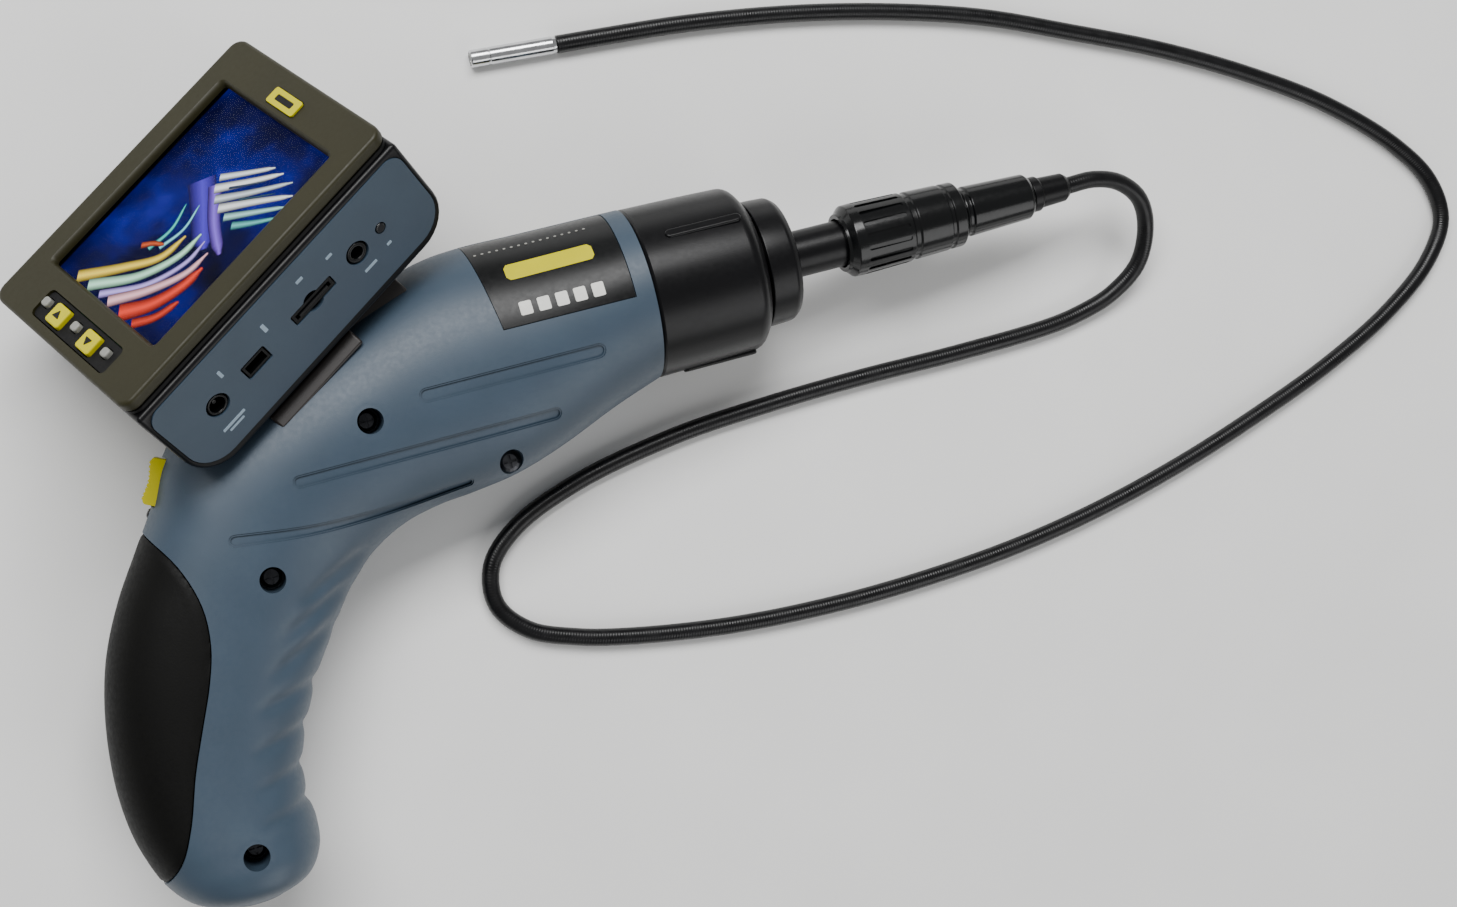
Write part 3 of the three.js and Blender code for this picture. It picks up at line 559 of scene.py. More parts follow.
# Each has its colour and its lowest and highest roughness; then come the size and depth of
# its grain in mm and how much its colour varies, where they differ from the shell's.
SHELL = moulded("shell_plastic", 0x364655, 0.42, 0.5)
PANEL = moulded("panel_plastic", 0x344453, 0.42, 0.5)
BLACK = moulded("black_plastic", 0x08080A, 0.3, 0.36, 0.4, 0.008, 0.15, gloss=0.25)
DOCK_BLACK = moulded("dock_plastic", 0x17110F, 0.35, 0.42, 0.4, 0.008, 0.12)
GLOSS_BLACK = moulded("black_gloss", 0x070809, 0.16, 0.22, 0.5, 0.004, 0.15, gloss=0.4)
STRAP = moulded("strap_rubber", 0x060605, 0.5, 0.62, 0.5, 0.03, 0.15, gloss=0.16)
RUBBER = moulded("black_rubber", 0x09090A, 0.6, 0.75, 0.4, 0.02, 0.2, gloss=0.3)
KHAKI = moulded("khaki_plastic", 0x282611, 0.42, 0.52, 0.32, gloss=0.35)
YELLOW = moulded("yellow_plastic", 0xCCC200, 0.36, 0.48, depth=0.008, gloss=0.25)
GREY_KEY = moulded("grey_plastic", 0x8E8E88, 0.35, 0.5, 0.3, 0.006, 0.08)
WHITE = moulded("white_plastic", 0xDEDED8, 0.35, 0.5, 0.3, 0.006, 0.04)
MARK = moulded("pale_ink", 0x8FA3B3, 0.4, 0.55, 0.3, 0.002, 0.1)
LABEL = moulded("label_film", 0x050607, 0.3, 0.38, 0.6, 0.003, 0.2, gloss=0.3)
CELL = moulded("cell_wrap", 0x35506B, 0.25, 0.35, 0.8, 0.004, 0.08)
LENS = moulded("dark_lens", 0x06080D, 0.05, 0.1, 2, 0.001, 0.08, coat=0.6)
STEEL = metal("bright_steel", 0xD9DADC, 0.12, 0.24)
ZINC = metal("dark_zinc", 0x55565A, 0.35, 0.5)
BOARD = circuit()
SHEATH = cable_sheath()

CAD_FINISHES = (
    (BLACK, "battery_tray", "antenna", "dock_shoe"),
    (GLOSS_BLACK, "usb_port", "card_slot"),
    (STEEL, "battery_contact_top", "battery_contact_bottom", "transmitter_can"),
    (ZINC, "shell_screw_1", "shell_screw_2", "shell_screw_3", "shell_screw_4"),
    (CELL, "battery_1", "battery_2", "battery_3", "battery_4", "monitor_battery"),
    (BOARD, "rocker_board", "main_board", "monitor_board"),
    (LABEL, "lcd_panel", "memory_card"),
    (RUBBER, "monitor_gasket"),
    (LENS, "tip_lens"),
    (WHITE, "tip_led_ring"),
    (clear_window(), "screen_window"),
)


def finish_cad_nodes():
    for material, *names in CAD_FINISHES:
        for name in names:
            mesh = frame["nodes"][name].data
            mesh.materials.clear()
            mesh.materials.append(material)


# --- camera, light, floor

CAMERA_BACK = (-0.244, 0.088, 0.966)  # from the object towards the camera
CAMERA_RIGHT = (0.935, -0.244, 0.259)  # roughly to the right of the picture
CAMERA_PLACE = (-133.1, 0, 590.1)  # in the tool frame
CAMERA_LENS = 49.4
CAMERA_SENSOR = 36
LIT_POINT = (0.02, 0, 0.02)
LIGHTS = {  # place and size in metres, power in watts
    "key": ((-0.1, 0.75, 1.1), (1.3, 0.5), 24),
    "side": ((0.5, -0.9, 0.7), (0.8, 0.8), 5),
}
WORLD_STRENGTH = 0.3
FLOOR_HALF = 3.0
FLOOR_COLOURS = [(0.3, (0.86, 0.86, 0.85, 1)), (0.7, (0.9, 0.9, 0.89, 1))]


def add_camera():
    back = Vector(CAMERA_BACK).normalized()
    up = back.cross(Vector(CAMERA_RIGHT)).normalized()
    right = up.cross(back)
    camera = add_object("camera", bpy.data.cameras.new("camera"))
    camera.data.sensor_width = CAMERA_SENSOR
    camera.data.lens = CAMERA_LENS
    place = Matrix((right, up, back)).transposed().to_4x4()
    place.translation = TOOL @ Vector(CAMERA_PLACE)
    camera.matrix_world = place
    bpy.context.scene.camera = camera


def add_light(name, place, size, power):
    light = bpy.data.lights.new(name, "AREA")
    light.shape = "RECTANGLE"
    light.size, light.size_y = size
    light.energy = power
    lamp = add_object(name, light)
    lamp.location = place
    back = Vector(place) - Vector(LIT_POINT)
    lamp.rotation_euler = back.to_track_quat("Z", "Y").to_euler()


def add_studio():
    world = bpy.data.worlds.new("studio")
    bpy.context.scene.world = world
    world.use_nodes = True
    background = world.node_tree.nodes["Background"]
    background.inputs["Color"].default_value = (1, 1, 1, 1)
    background.inputs["Strength"].default_value = WORLD_STRENGTH
    for name, light in LIGHTS.items():
        add_light(name, *light)
    finish = Finish("floor_paper", Roughness=0.9)
    paper = finish.ramp(finish.noise(60, 3), FLOOR_COLOURS)
    finish.link(paper, finish.shader.inputs["Base Color"])
    side = FLOOR_HALF
    corners = [(-side, -side, 0), (side, -side, 0), (side, side, 0), (-side, side, 0)]
    floor = new_mesh("floor", corners, [(0, 1, 2, 3)])
    floor.data.materials.append(finish.material)


# --- probe cable


def tube_frames(line):
    """Each point of the line with two directions across it that never twist suddenly."""
    across = Vector((0, 0, 1)).cross(line[1] - line[0]).normalized()
    frames = []
    for point, along in zip(line, directions(line)):
        across = (across - along * across.dot(along)).normalized()
        frames.append((point, across, along.cross(across)))
    return frames


def probe_cable():
    line = spline([(x, y, height - BARREL_R) for x, y, height in PROBE_ROUTE], CABLE_STEP)
    rim = circle(0, 0, PROBE_D / 2, CABLE_SIDES)
    rings = [
        [point + across * p.x + other * p.y for p in rim]
        for point, across, other in tube_frames(line)
    ]
    cable = stacked("probe_cable_sheath", rings, TOOL)
    add_tube_uv(cable, line)
    settle(cable, SHEATH, "probe", "probe_cable", angle=60)
    nodes = frame["nodes"]
    [nodes["tip_lens"], nodes["tip_led_ring"]] + probe_ends()


def add_tube_uv(cable, line):
    """UV in units of one turn round the cable and one rib along it."""
    lengths = [0.0]
    for a, b in zip(line, line[1:]):
        lengths.append(lengths[-1] + (b - a).length)
    layer = cable.data.uv_layers.new(name="sheath")
    for face in cable.data.polygons:
        corners = [cable.data.loops[i].vertex_index for i in face.loop_indices]
        turns = [vertex % CABLE_SIDES for vertex in corners]
        wraps = max(turns) - min(turns) > CABLE_SIDES / 2
        for loop, vertex, turn in zip(face.loop_indices, corners, turns):
            if wraps and turn < CABLE_SIDES / 2:
                turn += CABLE_SIDES
            along = lengths[vertex // CABLE_SIDES] / SHEATH_RIB
            layer.data[loop].uv = (turn / CABLE_SIDES, along)


def probe_ends():
    """The ferrule and the steel camera head at the two ends of the cable."""
    ferrule = lathe("ferrule_turned", [
        (120.4, 0, 0), (145, 0, 0), (145, 3.5, 0.2), (143.6, 4.5, 0.5), (135.2, 4.9, 0),
        (134.9, 5.3, 0.1), (134.4, 5.6, 0.3), (131.9, 5.6, 0.2), (131.9, 2.9, 0),
        (120.4, 2.9, 0),
    ], 48)
    settle(ferrule, BLACK, "probe", "ferrule")
    turn = Matrix.Rotation(math.radians(HEAD_TURN), 4, "Z")
    head_place = TOOL @ Matrix.Translation((*HEAD_PLACE, LYING - BARREL_R)) @ turn
    head = lathe("camera_head", [
        (0, 0, 0), (25, 0, 0), (25, 2.1, 0), (27, 2.1, 0),
        (27, 2.55, 0.15), (26.7, 2.72, 0.1), (21.6, 2.72, 0), (21.4, 2.55, 0),
        (21.1, 2.55, 0), (20.9, 2.72, 0), (1.2, 2.72, 0.1), (0.9, 2.6, 0), (0, 2.5, 0.1),
    ], 48, head_place)
    settle(head, STEEL, "probe", "tip_barrel")
    return [ferrule, head]


# --- handset body


def body_rows():
    """The section table filled in to one row about every BODY_STEP along the body."""
    before = [2 * a - b for a, b in zip(BODY[0], BODY[1])]
    after = [2 * a - b for a, b in zip(BODY[-1], BODY[-2])]
    ends = [before, *BODY, after]
    fine = []
    for a, b, c, d in zip(ends, ends[1:], ends[2:], ends[3:]):
        spans = [math.hypot(c[i] - b[i], c[i + 1] - b[i + 1]) for i in (0, 2)]
        count = max(2, round(sum(spans) / 2 / BODY_STEP))
        for i in range(count):
            t = i / count
            fine.append([catmull_rom(*values, t) for values in zip(a, b, c, d)])
    return fine + [BODY[-1]]


def catmull_rom(a, b, c, d, t):
    return b + 0.5 * t * (c - a + t * (2 * a - 5 * b + 4 * c - d + t * (3 * (b - c) + d - a)))


def body_ring(row, inset):
    """One section of the body as a superellipse, moved in by inset."""
    top_x, top_y, bottom_x, bottom_y, half, power = row
    up = Vector((top_x - bottom_x, top_y - bottom_y))
    reach = up.length / 2 - inset
    up.normalize()
    middle = Vector((top_x + bottom_x, top_y + bottom_y)) / 2
    ring = []
    for i in range(BODY_SIDES):
        angle = 2 * math.pi * i / BODY_SIDES
        c, s = math.cos(angle), math.sin(angle)
        rise = math.copysign(abs(s) ** (2 / power), s) * reach
        side = math.copysign(abs(c) ** (2 / power), c) * (half - inset)
        ring.append((middle.x + up.x * rise, middle.y + up.y * rise, side))
    return ring


ROWS = body_rows()


def body_solid(name, inset, relief=None, rows=None):
    """The body's outer form, moved in by inset, with an optional relief depth per point."""
    rings = [body_ring(row, inset) for row in rows or ROWS]
    piece = stacked(name, rings)
    if relief:
        normals = [n.vector.copy() for n in piece.data.vertex_normals]
        for vertex, normal in zip(piece.data.vertices, normals):
            vertex.co -= normal * relief(vertex.co)
    piece.data.transform(TOOL)
    return piece


STRAP_LINE = spline(STRAP_EDGE, 2.5)


def strap_prism(forwards):
    """The region behind the strap's front edge, with the edge moved forwards."""
    edge = [p + n * forwards for p, n in zip(STRAP_LINE, left_normals(STRAP_LINE))]
    behind = [Vector((-200, edge[-1].y)), Vector((-200, edge[0].y))]
    return prism("strap_prism", edge + behind, -SIDE_REACH, SIDE_REACH, TOOL)


def cut_grooves(shell, side):
    """Shallow round-ended channels with a stepped edge."""
    low, high = sorted((side * 5, side * SIDE_REACH))
    for change, depth in GROOVE_STEPS:
        floor = body_solid("groove_floor", depth)
        for points, start_width, end_width in GROOVES:
            outline = stroke_outline(points, start_width + change, end_width + change)
            groove = prism("groove", outline, low, high, TOOL)
            combine(groove, floor, keep=True)
            combine(shell, groove)
        bpy.data.objects.remove(floor)


def finger_depth(point):
    """Soft scallops across the front of the grip that fade out on its sides."""
    if point.x < GRIP_LEFT or not GRIP_LOW <= point.y <= GRIP_TOP:
        return 0.0
    depth = 0.0
    for place, inward in FINGER_LINES:
        offset = point.xy - Vector(place)
        ahead = offset.dot(inward)
        beside = offset.dot(Vector((-inward.y, inward.x)))
        fade = smoothstep(*FINGER_FRONT, ahead) * (1 - smoothstep(*FINGER_BACK, ahead))
        depth = max(depth, FINGER_DEPTH * fade * math.exp(-((beside / FINGER_WIDTH) ** 2)))
    return depth


def screw_dimple(point):
    """The surface dips softly towards each screw recess."""
    if abs(point.z) <= DIMPLE_REACH:
        return 0.0
    distance = min((point.xy - Vector(place)).length for place in SCREWS)
    return DIMPLE_DEPTH * (1 - smoothstep(*DIMPLE_EDGE, distance))


def shell_relief(point):
    return finger_depth(point) + screw_dimple(point)


def pad_relief(point):
    """The rubber rolls down a little all round its edge."""
    distance = distance_to_line(point.xy, STRAP_LINE)
    return STRAP_ROLL * (1 - smoothstep(0, STRAP_ROLL_WIDTH, distance)) ** 2


def half_space(side):
    low, high = sorted((side * SPLIT, side * SIDE_REACH))
    return block("half_space", (-230, -190, low), (40, 60, high), TOOL)


def dock_recess():
    return block("dock_recess", (-4.4, -18.4, -32), (4.4, 18.4, -8), DOCK)


def label_prism(side, margin, low):
    """The label's outline grown by margin and raised to the side from its height low."""
    outline = [Vector((x + (margin if x > -20 else -margin), y - margin))
               for x, y in LABEL_OUTLINE]
    return prism("label_prism", outline, *sorted((side * low, side * SIDE_REACH)), TOOL)


def shell_half(side):
    """One moulding: the body hollowed and split, with its bosses, openings and grooves."""
    shell = body_solid(f"{SIDES[side]}_half", 0, shell_relief)
    hollow_rows = [(8, BARREL_R, 8, -BARREL_R, BARREL_R, 2)] + ROWS[:-SOLID_ROWS]
    hollow = body_solid("hollow", WALL, rows=hollow_rows)
    combine(shell, hollow)
    for place in SCREWS:
        boss = prism("boss", circle(*place, BOSS_R, 32), -SIDE_REACH, SIDE_REACH, TOOL)
        combine(boss, body_solid("boss_limit", BOSS_INSET), "INTERSECT")
        combine(shell, boss, "UNION")
    combine(shell, half_space(side), "INTERSECT")
    if side > 0:
        for place in SCREWS:
            recess = circle(*place, RECESS_R, 32)
            combine(shell, prism("recess", recess, RECESS_FLOOR, SIDE_REACH, TOOL))
            combine(shell, prism("hole", circle(*place, SCREW_HOLE_R, 32), -1, 20, TOOL))
    pocket = label_prism(side, LABEL_GAP, POCKET_EDGE)
    combine(pocket, body_solid("pocket_floor", POCKET_DEPTH))
    combine(shell, pocket)
    cut_grooves(shell, side)
    combine(shell, strap_prism(STRAP_GAP))
    combine(shell, dock_recess())
    combine(shell, rocker_pocket())
    settle(shell, SHELL, "handset", f"{SIDES[side]}_shell", angle=38)


def label_film(side):
    """The thin black label let into one side of the barrel."""
    node = f"{SIDES[side]}_label"
    film = body_solid(f"{node}_film", LABEL_SUNK)
    combine(film, label_prism(side, 0, LABEL_EDGE), "INTERSECT")
    combine(film, body_solid("label_back", LABEL_BACK))
    settle(film, LABEL, "handset", node)


def grip():
    """The rubber back strap, and the door that carries it."""
    pad = body_solid("rubber_strap", 0, pad_relief)
    combine(pad, strap_prism(0), "INTERSECT")
    combine(pad, body_solid("strap_back", STRAP_THICKNESS))
    settle(pad, STRAP, "door", "grip_pad")
    door = body_solid("door_panel", DOOR_DEPTHS[0])
    combine(door, strap_prism(0), "INTERSECT")
    combine(door, body_solid("door_back", DOOR_DEPTHS[1]))
    settle(door, BLACK, "door", "battery_door")


# --- thumb rocker and lamp

ROCKER_PLACE = TOOL @ Matrix.Translation(Vector((-148.5, -18, 0))) @ Matrix.Rotation(
    math.atan2(-12, -6), 4, "Z")


def rocker_pocket():
    return block("rocker_pocket", (-7.1, -8, -6.9), (7.1, 12, 6.9), ROCKER_PLACE)


def thumb_rocker():
    """A key with a dished middle and a row of ridges at each end; local y points inwards."""
    profile = [(-6.7, 4.8, 0.4), (-6.7, -2.4, 1.1)]
    for i in range(9):
        x = -5.2 + i * 1.3
        crest = -2.75 + 0.35 * math.cos(math.pi * x / 6)
        profile += [(x - 0.42, crest + 0.42, 0.1), (x, crest, 0.16), (x + 0.42, crest + 0.42, 0.1)]
    profile += [(6.7, -2.4, 1.1), (6.7, 4.8, 0.4)]
    key = prism("rocker_key", filleted(profile, 3), -6.4, 6.4, ROCKER_PLACE)
    settle(bevelled(key, 0.5, 2, 50), YELLOW, "rocker", "thumb_rocker")


def status_lamp():
    turn = Matrix.Rotation(math.atan2(0.555, -0.832), 4, "Z")
    place = TOOL @ Matrix.Translation(Vector((-152.7, -26.2, 0))) @ turn
    lamp = lathe("status_lens", [(-4, 0, 0), (0.75, 0, 0.01), (0.6, 1.5, 0.8), (-4, 1.5, 0)],
                 32, place)
    settle(lamp, LENS, "handset", "status_led")


# --- marks on the label


def barrel_patch(name, body_tree, side, start, length, angle, half, radius, material):
    """A thin mark round the barrel, 2 * half high, with corners rounded by the radius."""
    rings = []
    for i in range(PATCH_COLUMNS + 1):
        share = i / PATCH_COLUMNS
        inside = min(share, 1 - share) * length
        reach = half
        if inside < radius:
            reach += math.sqrt(max(0.02, radius ** 2 - (radius - inside) ** 2)) - radius
        axis_point = TOOL @ Vector((start + length * share, 0, 0))
        top, root = [], []
        for j in range(PATCH_LINES + 1):
            arc = reach * (2 * j / PATCH_LINES - 1)
            turn = math.radians(angle) + arc / BARREL_R
            direction = Vector((0, math.sin(turn), side * math.cos(turn)))
            hit = body_tree.ray_cast(axis_point, direction)[0]
            top.append(hit + direction * MARK_RISE * MM)
            root.insert(0, hit - direction * MARK_ROOT * MM)
        rings.append(top + root)
    settle(stacked(name, rings), material, "handset", angle=40)


def label_marks(side):
    """Plain marks in place of the maker's: a yellow bar, pale strokes and a row of dots."""
    body = body_solid("mark_base", LABEL_SUNK)
    tree = BVHTree.FromObject(body, bpy.context.evaluated_depsgraph_get())
    bpy.data.objects.remove(body)
    name = SIDES[side]
    barrel_patch(f"{name}_yellow_bar", tree, side, -40, 26.4, 37.5, 2.9, 1.4, YELLOW)
    for i in range(5):
        start = -39.2 + i * 5.4
        barrel_patch(f"{name}_stroke_{i + 1}", tree, side, start, 3.6, 9.5, 2.1, 0.5, WHITE)
    for i in range(16):
        start = -46.5 + i * 2.2
        barrel_patch(f"{name}_dot_{i + 1}", tree, side, start, 0.8, 60.5, 0.35, 0.35, GREY_KEY)


# --- nose and plug

CAP_RIBS = (35, 155, -85)  # degrees round the barrel
SLEEVE_FLUTES = 18


def nose():
    """The ribbed cap, the ring in front of it and the socket that the probe plugs into."""
    cap = lathe("nose_cap_turned", [
        (0.3, 22.9, 0), (-6, 22.9, 0.2), (-6, 20.9, 0.2), (32.4, 21, 0.2), (33, 16.4, 0),
        (36.2, 16.4, 0.4), (36.2, 21.2, 2.4), (33.4, 25.2, 4.2), (18, 25.6, 0), (1.2, 25.85, 0),
        (0.3, 25.2, 0.3),
    ], 128)
    for angle in CAP_RIBS:
        turn = Matrix.Rotation(math.radians(-angle), 4, "X")
        rib = prism("rib", rectangle(20, 0, 23.6, 3, 1.45), 22.8, 26.4, TOOL @ turn)
        combine(cap, bevelled(rib, 0.7, 3), "UNION")
    settle(cap, BLACK, "handset", "nose_cap")
    ring = lathe("nose_ring_turned", [
        (26, 8, 0), (47.1, 8, 0), (47.7, 8.6, 0.2), (47.7, 17.6, 1.6), (45.6, 19.2, 2.2),
        (41, 19.45, 0), (37.4, 19.5, 0.5), (37.4, 15.9, 0), (26, 15.9, 0.2),
    ], 112)
    settle(ring, BLACK, "handset", "nose_ring")
    socket = lathe("probe_socket_turned", [
        (12, 0, 0), (67, 0, 0), (67, 5, 0), (82, 5, 0.2), (82, 7.2, 0.4), (25.4, 7.2, 0),
        (25.4, 13, 0.3), (20, 13, 0.3), (20, 7.2, 0), (12, 7.2, 0.3),
    ], 64)
    settle(socket, BLACK, "handset", "probe_socket")


def connector():
    """The plug's core, the fluted locking sleeve and the rear sleeve."""
    plug = lathe("plug_core", [
        (70, 0, 0), (119.5, 0, 0), (119.5, 5.35, 0), (83.7, 5.35, 0.2), (83.7, 4.6, 0),
        (70.6, 4.6, 0), (70, 4.1, 0),
    ], 48)
    settle(plug, STEEL, "probe", "probe_plug")
    sleeve = lathe("locking_sleeve_turned", [
        (66.5, 7.7, 0.2), (83.2, 7.7, 0), (83.2, 5.8, 0), (106.8, 5.8, 0.2), (106.8, 9.1, 0.5),
        (105.9, 10.2, 0.5), (102.6, 10.3, 0.2), (102.2, 9.8, 0.1), (101.2, 9.8, 0.1),
        (100.8, 10.4, 0.2), (90.4, 10.7, 0.3), (89.9, 10.2, 0.2), (88.5, 10.2, 0.2),
        (88, 10.9, 0.3), (72, 11.3, 0.4), (69.2, 11.2, 0.8), (67.4, 9.4, 0.6), (66.5, 9, 0.2),
    ], 96)
    for i in range(SLEEVE_FLUTES):
        turn = Matrix.Rotation(2 * math.pi * i / SLEEVE_FLUTES, 4, "X")
        slot = prism("slot", rectangle(79.5, 0, 14.5, 1.5, 0.7), 10.55, 14, TOOL @ turn)
        combine(sleeve, slot)
    settle(sleeve, GLOSS_BLACK, "sleeve", "locking_sleeve")
    rear = lathe("rear_sleeve_turned", [
        (107.2, 5.7, 0), (120, 5.7, 0), (120, 3.2, 0), (131.5, 3.2, 0.2), (131.5, 6.1, 0.5),
        (130.2, 7.2, 0.8), (109.8, 7.95, 0.3), (109.3, 7.4, 0.2), (108.3, 7.4, 0.2),
        (107.9, 7.9, 0.3), (107.2, 7.5, 0.2),
    ], 80)
    settle(rear, GLOSS_BLACK, "probe", "rear_sleeve")


# --- dock


def dock():
    """A saddle with wings down the handset's flanks, hollowed to fit, under the swivel barrel."""
    saddle = dock_section([(15, -34, 0), (15, -18.5, 3), (4, -7, 0)], -30, 27)
    wings = dock_section([(21.6, -29.5, 0.8), (20.8, -24.5, 1.5), (12, -16, 0)], -26, 7)
    combine(saddle, wings, "UNION")
    combine(saddle, body_solid("dock_fit", -0.15))
    along_y = Matrix.Rotation(-math.pi / 2, 4, "X")
    parts = [
        block("neck", (-4, -22, -9), (4, 22, 0), DOCK),
        block("tongue", (-4, -18, -24), (4, 18, -8), DOCK),
        prism("swivel_barrel", circle(0, 0, 8, 48), -22, 22, DOCK @ along_y),
    ]
    for part in parts:
        combine(saddle, part, "UNION")
    settle(saddle, DOCK_BLACK, "handset", "dock_base")


def dock_section(half, low, high):
    """A section of x, z, fillet, mirrored across and raised along the swivel axis."""
    mirrored = [(-x, z, radius) for x, z, radius in reversed(half)]
    section = filleted(half + mirrored, 4)
    rings = [[(p.x, y, p.y) for p in section] for y in (low, high)]
    return bevelled(stacked("dock_section", rings, DOCK), 0.8, 3, 60)


# --- monitor

HOUSING_HALF = 50  # along y
HOUSING_SIDE = 35.6  # along x
HOUSING_DEPTH = 35.2
PANEL_SIDES = (34.4, 35.9)  # inner and outer faces of a side panel
BEZEL = (0, 0, 69, 99.6)  # centre x and y, width, height
BEZEL_DEPTHS = (36.8, 41)
SCREEN = (0, 2, 52, 68)
TAG = (-0.7, 41.2)
PAD = (1, -42.2)
DEEP = (30, 50)  # from behind the bezel to in front of it
PORT_CUT = (20, 50)  # from inside the housing to outside it
PICTURE_FRONT = 37.1
STROKE_STEP = 0.006

PORT_HEIGHT = 18.6
LAMP_Y, VIDEO_Y, CARD_Y, USB_Y, POWER_Y = 31.9, 22.6, 5, -17.6, -32.8
PORT_HOLES = [
    circle(LAMP_Y, PORT_HEIGHT, 1.8, 24),
    circle(VIDEO_Y, PORT_HEIGHT, 3.7),
    rectangle(CARD_Y, PORT_HEIGHT, 15.8, 4.2, 0.6),
    rectangle(USB_Y, PORT_HEIGHT, 9.0, 5.6, 0.6),
    circle(POWER_Y, PORT_HEIGHT, 3.7),
]
FINGER_NOTCH = circle(CARD_Y, PORT_HEIGHT, 3.3)
PORT_MARKS = [  # y, height, length, width
    (23, 11.6, 4.6, 0.9), (16.2, 25.6, 2.2, 0.9), (31, 12.4, 1.6, 0.9), (-9.6, 25.2, 1.2, 3),
    (6, 27.6, 2.4, 1), (-26.4, 25.6, 1, 2.6), (-33, 10.4, 8.2, 0.9), (-33, 8.8, 5.4, 0.7),
]
ACROSS = Matrix(((0, 0, 1, 0), (1, 0, 0, 0), (0, 1, 0, 0), (0, 0, 0, 1)))


def across_prism(name, outline, low, high):
    """An outline in the monitor's length and depth, raised across its width."""
    return prism(name, outline, low, high, MONITOR @ ACROSS)


def plate(name, x, y, width, height, radius, low, high):
    """A rounded rectangle in the screen's plane, raised towards the front."""
    return prism(name, rectangle(x, y, width, height, radius), low, high, MONITOR)


def side_outline(half, low, high, radius, top_radius=0.0):
    """The monitor's outline from the side, round at the back and squarer at the screen."""
    corners = [(-half, low, radius), (half, low, radius), (half, high, top_radius),
               (-half, high, top_radius)]
    return filleted(corners, 8)


def housing():
    """The rear tub, with the rail for the shoe, seats for the side panels and the ports."""
    outline = side_outline(HOUSING_HALF, 0, HOUSING_DEPTH, 12)
    tub = across_prism("housing_tub", outline, -HOUSING_SIDE, HOUSING_SIDE)
    bevelled(tub, 1.4, 3, 40)
    hollow = across_prism("hollow", side_outline(47.8, 2.2, 45, 9.8), -32.8, 32.8)
    combine(tub, hollow)
    combine(tub, block("rail_block", (-15.2, -48.5, 1), (15.2, 28.2, 15.5), MONITOR), "UNION")
    combine(tub, block("rail", (-13, -60, -2), (13, 26, 13.3), MONITOR))
    for low, high in ((34.1, 60), (-60, -34.1)):
        seat = side_outline(48.7, 2.9, 33.7, 10.3, 4.8)
        combine(tub, across_prism("panel_seat", seat, low, high))
    for hole in PORT_HOLES:
        combine(tub, across_prism("port", hole, *PORT_CUT))
    settle(tub, BLACK, "monitor", "monitor_housing")


def panels():
    """The two side panels, and plain strokes in place of the captions beside the ports."""
    for name, node, side in (
        ("port_side_panel", "port_panel", 1), ("plain_side_panel", "blank_panel", -1),
    ):
        faces = sorted(side * face for face in PANEL_SIDES)
        panel = across_prism(name, side_outline(48.4, 3.2, 33.4, 10, 4.5), *faces)
        if side > 0:
            for hole in (*PORT_HOLES, FINGER_NOTCH):
                combine(panel, across_prism("port", hole, *PORT_CUT))
        settle(bevelled(panel, 0.35, 2, 50), PANEL, "monitor", node)
    for i, (y, z, length, height) in enumerate(PORT_MARKS):
        mark = across_prism(f"port_mark_{i + 1}", rectangle(y, z, length, height, 0.2), 35.8, 36)
        settle(mark, MARK, "monitor")


def jacks():
    """Two round sockets; the power one has a centre pin."""
    for node, y, bore, core in (
        ("video_jack", VIDEO_Y, 1.9, [(25, 0, 0)]),
        ("power_jack", POWER_Y, 2.4, [(34, 0, 0), (34, 0.8, 0.3), (25, 0.8, 0)]),
    ):
        jack = lathe(f"{node}_turned", [
            *core, (25, bore, 0), (35.7, bore, 0.25), (35.7, 3.1, 0.25), (22, 3.1, 0), (22, 0, 0),
        ], 48, MONITOR @ Matrix.Translation((0, y, PORT_HEIGHT)))
        settle(jack, GLOSS_BLACK, "monitor", node)


def bezel():
    """The screen's frame, with a dished edge round its opening."""
    face = plate("bezel_frame", *BEZEL, 4, *BEZEL_DEPTHS)
    bevelled(face, 1.2, 4, 50)
    combine(face, plate("window", *SCREEN, 1.2, *DEEP))
    combine(face, block("seat", (-30, -35.6, 30), (30, 39.6, 38.8), MONITOR))
    x, y, width, height = SCREEN
    dish = [
        [(p.x, p.y, z) for p in rectangle(x, y, width + grow, height + grow, 1.2 + grow / 2)]
        for z, grow in ((38.9, 0.1), (39.8, 0.3), (40.6, 1.2), (41.1, 2.6), (42, 5))
    ]
    combine(face, stacked("dish", dish, MONITOR))
    combine(face, plate("pad_hole", *PAD, 37.6, 9, 1.7, *DEEP))
    combine(face, plate("tag_seat", *TAG, 13, 5.8, 1, 40.5, 44))
    settle(face, KHAKI, "monitor", "monitor_bezel")


KEYS = {  # x, y, width, height, finish, slot
    "up_key": (-8.2, -42.4, 6.4, 6.2, YELLOW, "yellow_plastic"),
    "down_key": (7.7, -42.4, 6.4, 6.2, YELLOW, "yellow_plastic"),
    "power_key": (-15.6, -41.6, 2.8, 2.8, GREY_KEY, "grey_plastic"),
    "menu_key": (-0.3, -41.6, 2.8, 2.8, GREY_KEY, "grey_plastic"),
    "record_key": (15.2, -41.6, 2.8, 2.8, GREY_KEY, "grey_plastic"),
}


def keys():
    """The five keys in their pad."""
    pad = plate("key_pad", *PAD, 37, 8.4, 1.5, 38.4, 40.4)
    for x, y, width, height, _, _ in KEYS.values():
        combine(pad, plate("key_hole", x, y, width + 0.6, height + 0.6, 1.1, *DEEP))
    settle(bevelled(pad, 0.3, 2, 60), RUBBER, "monitor", "button_pad")
    for node, (x, y, width, height, material, slot) in KEYS.items():
        cap = plate(node + "_cap", x, y, width, height, 0.9, 38, 41.8)
        bevelled(cap, 0.6, 4, 50)
        settle(cap, material, node.replace("_key", "_button"), node)


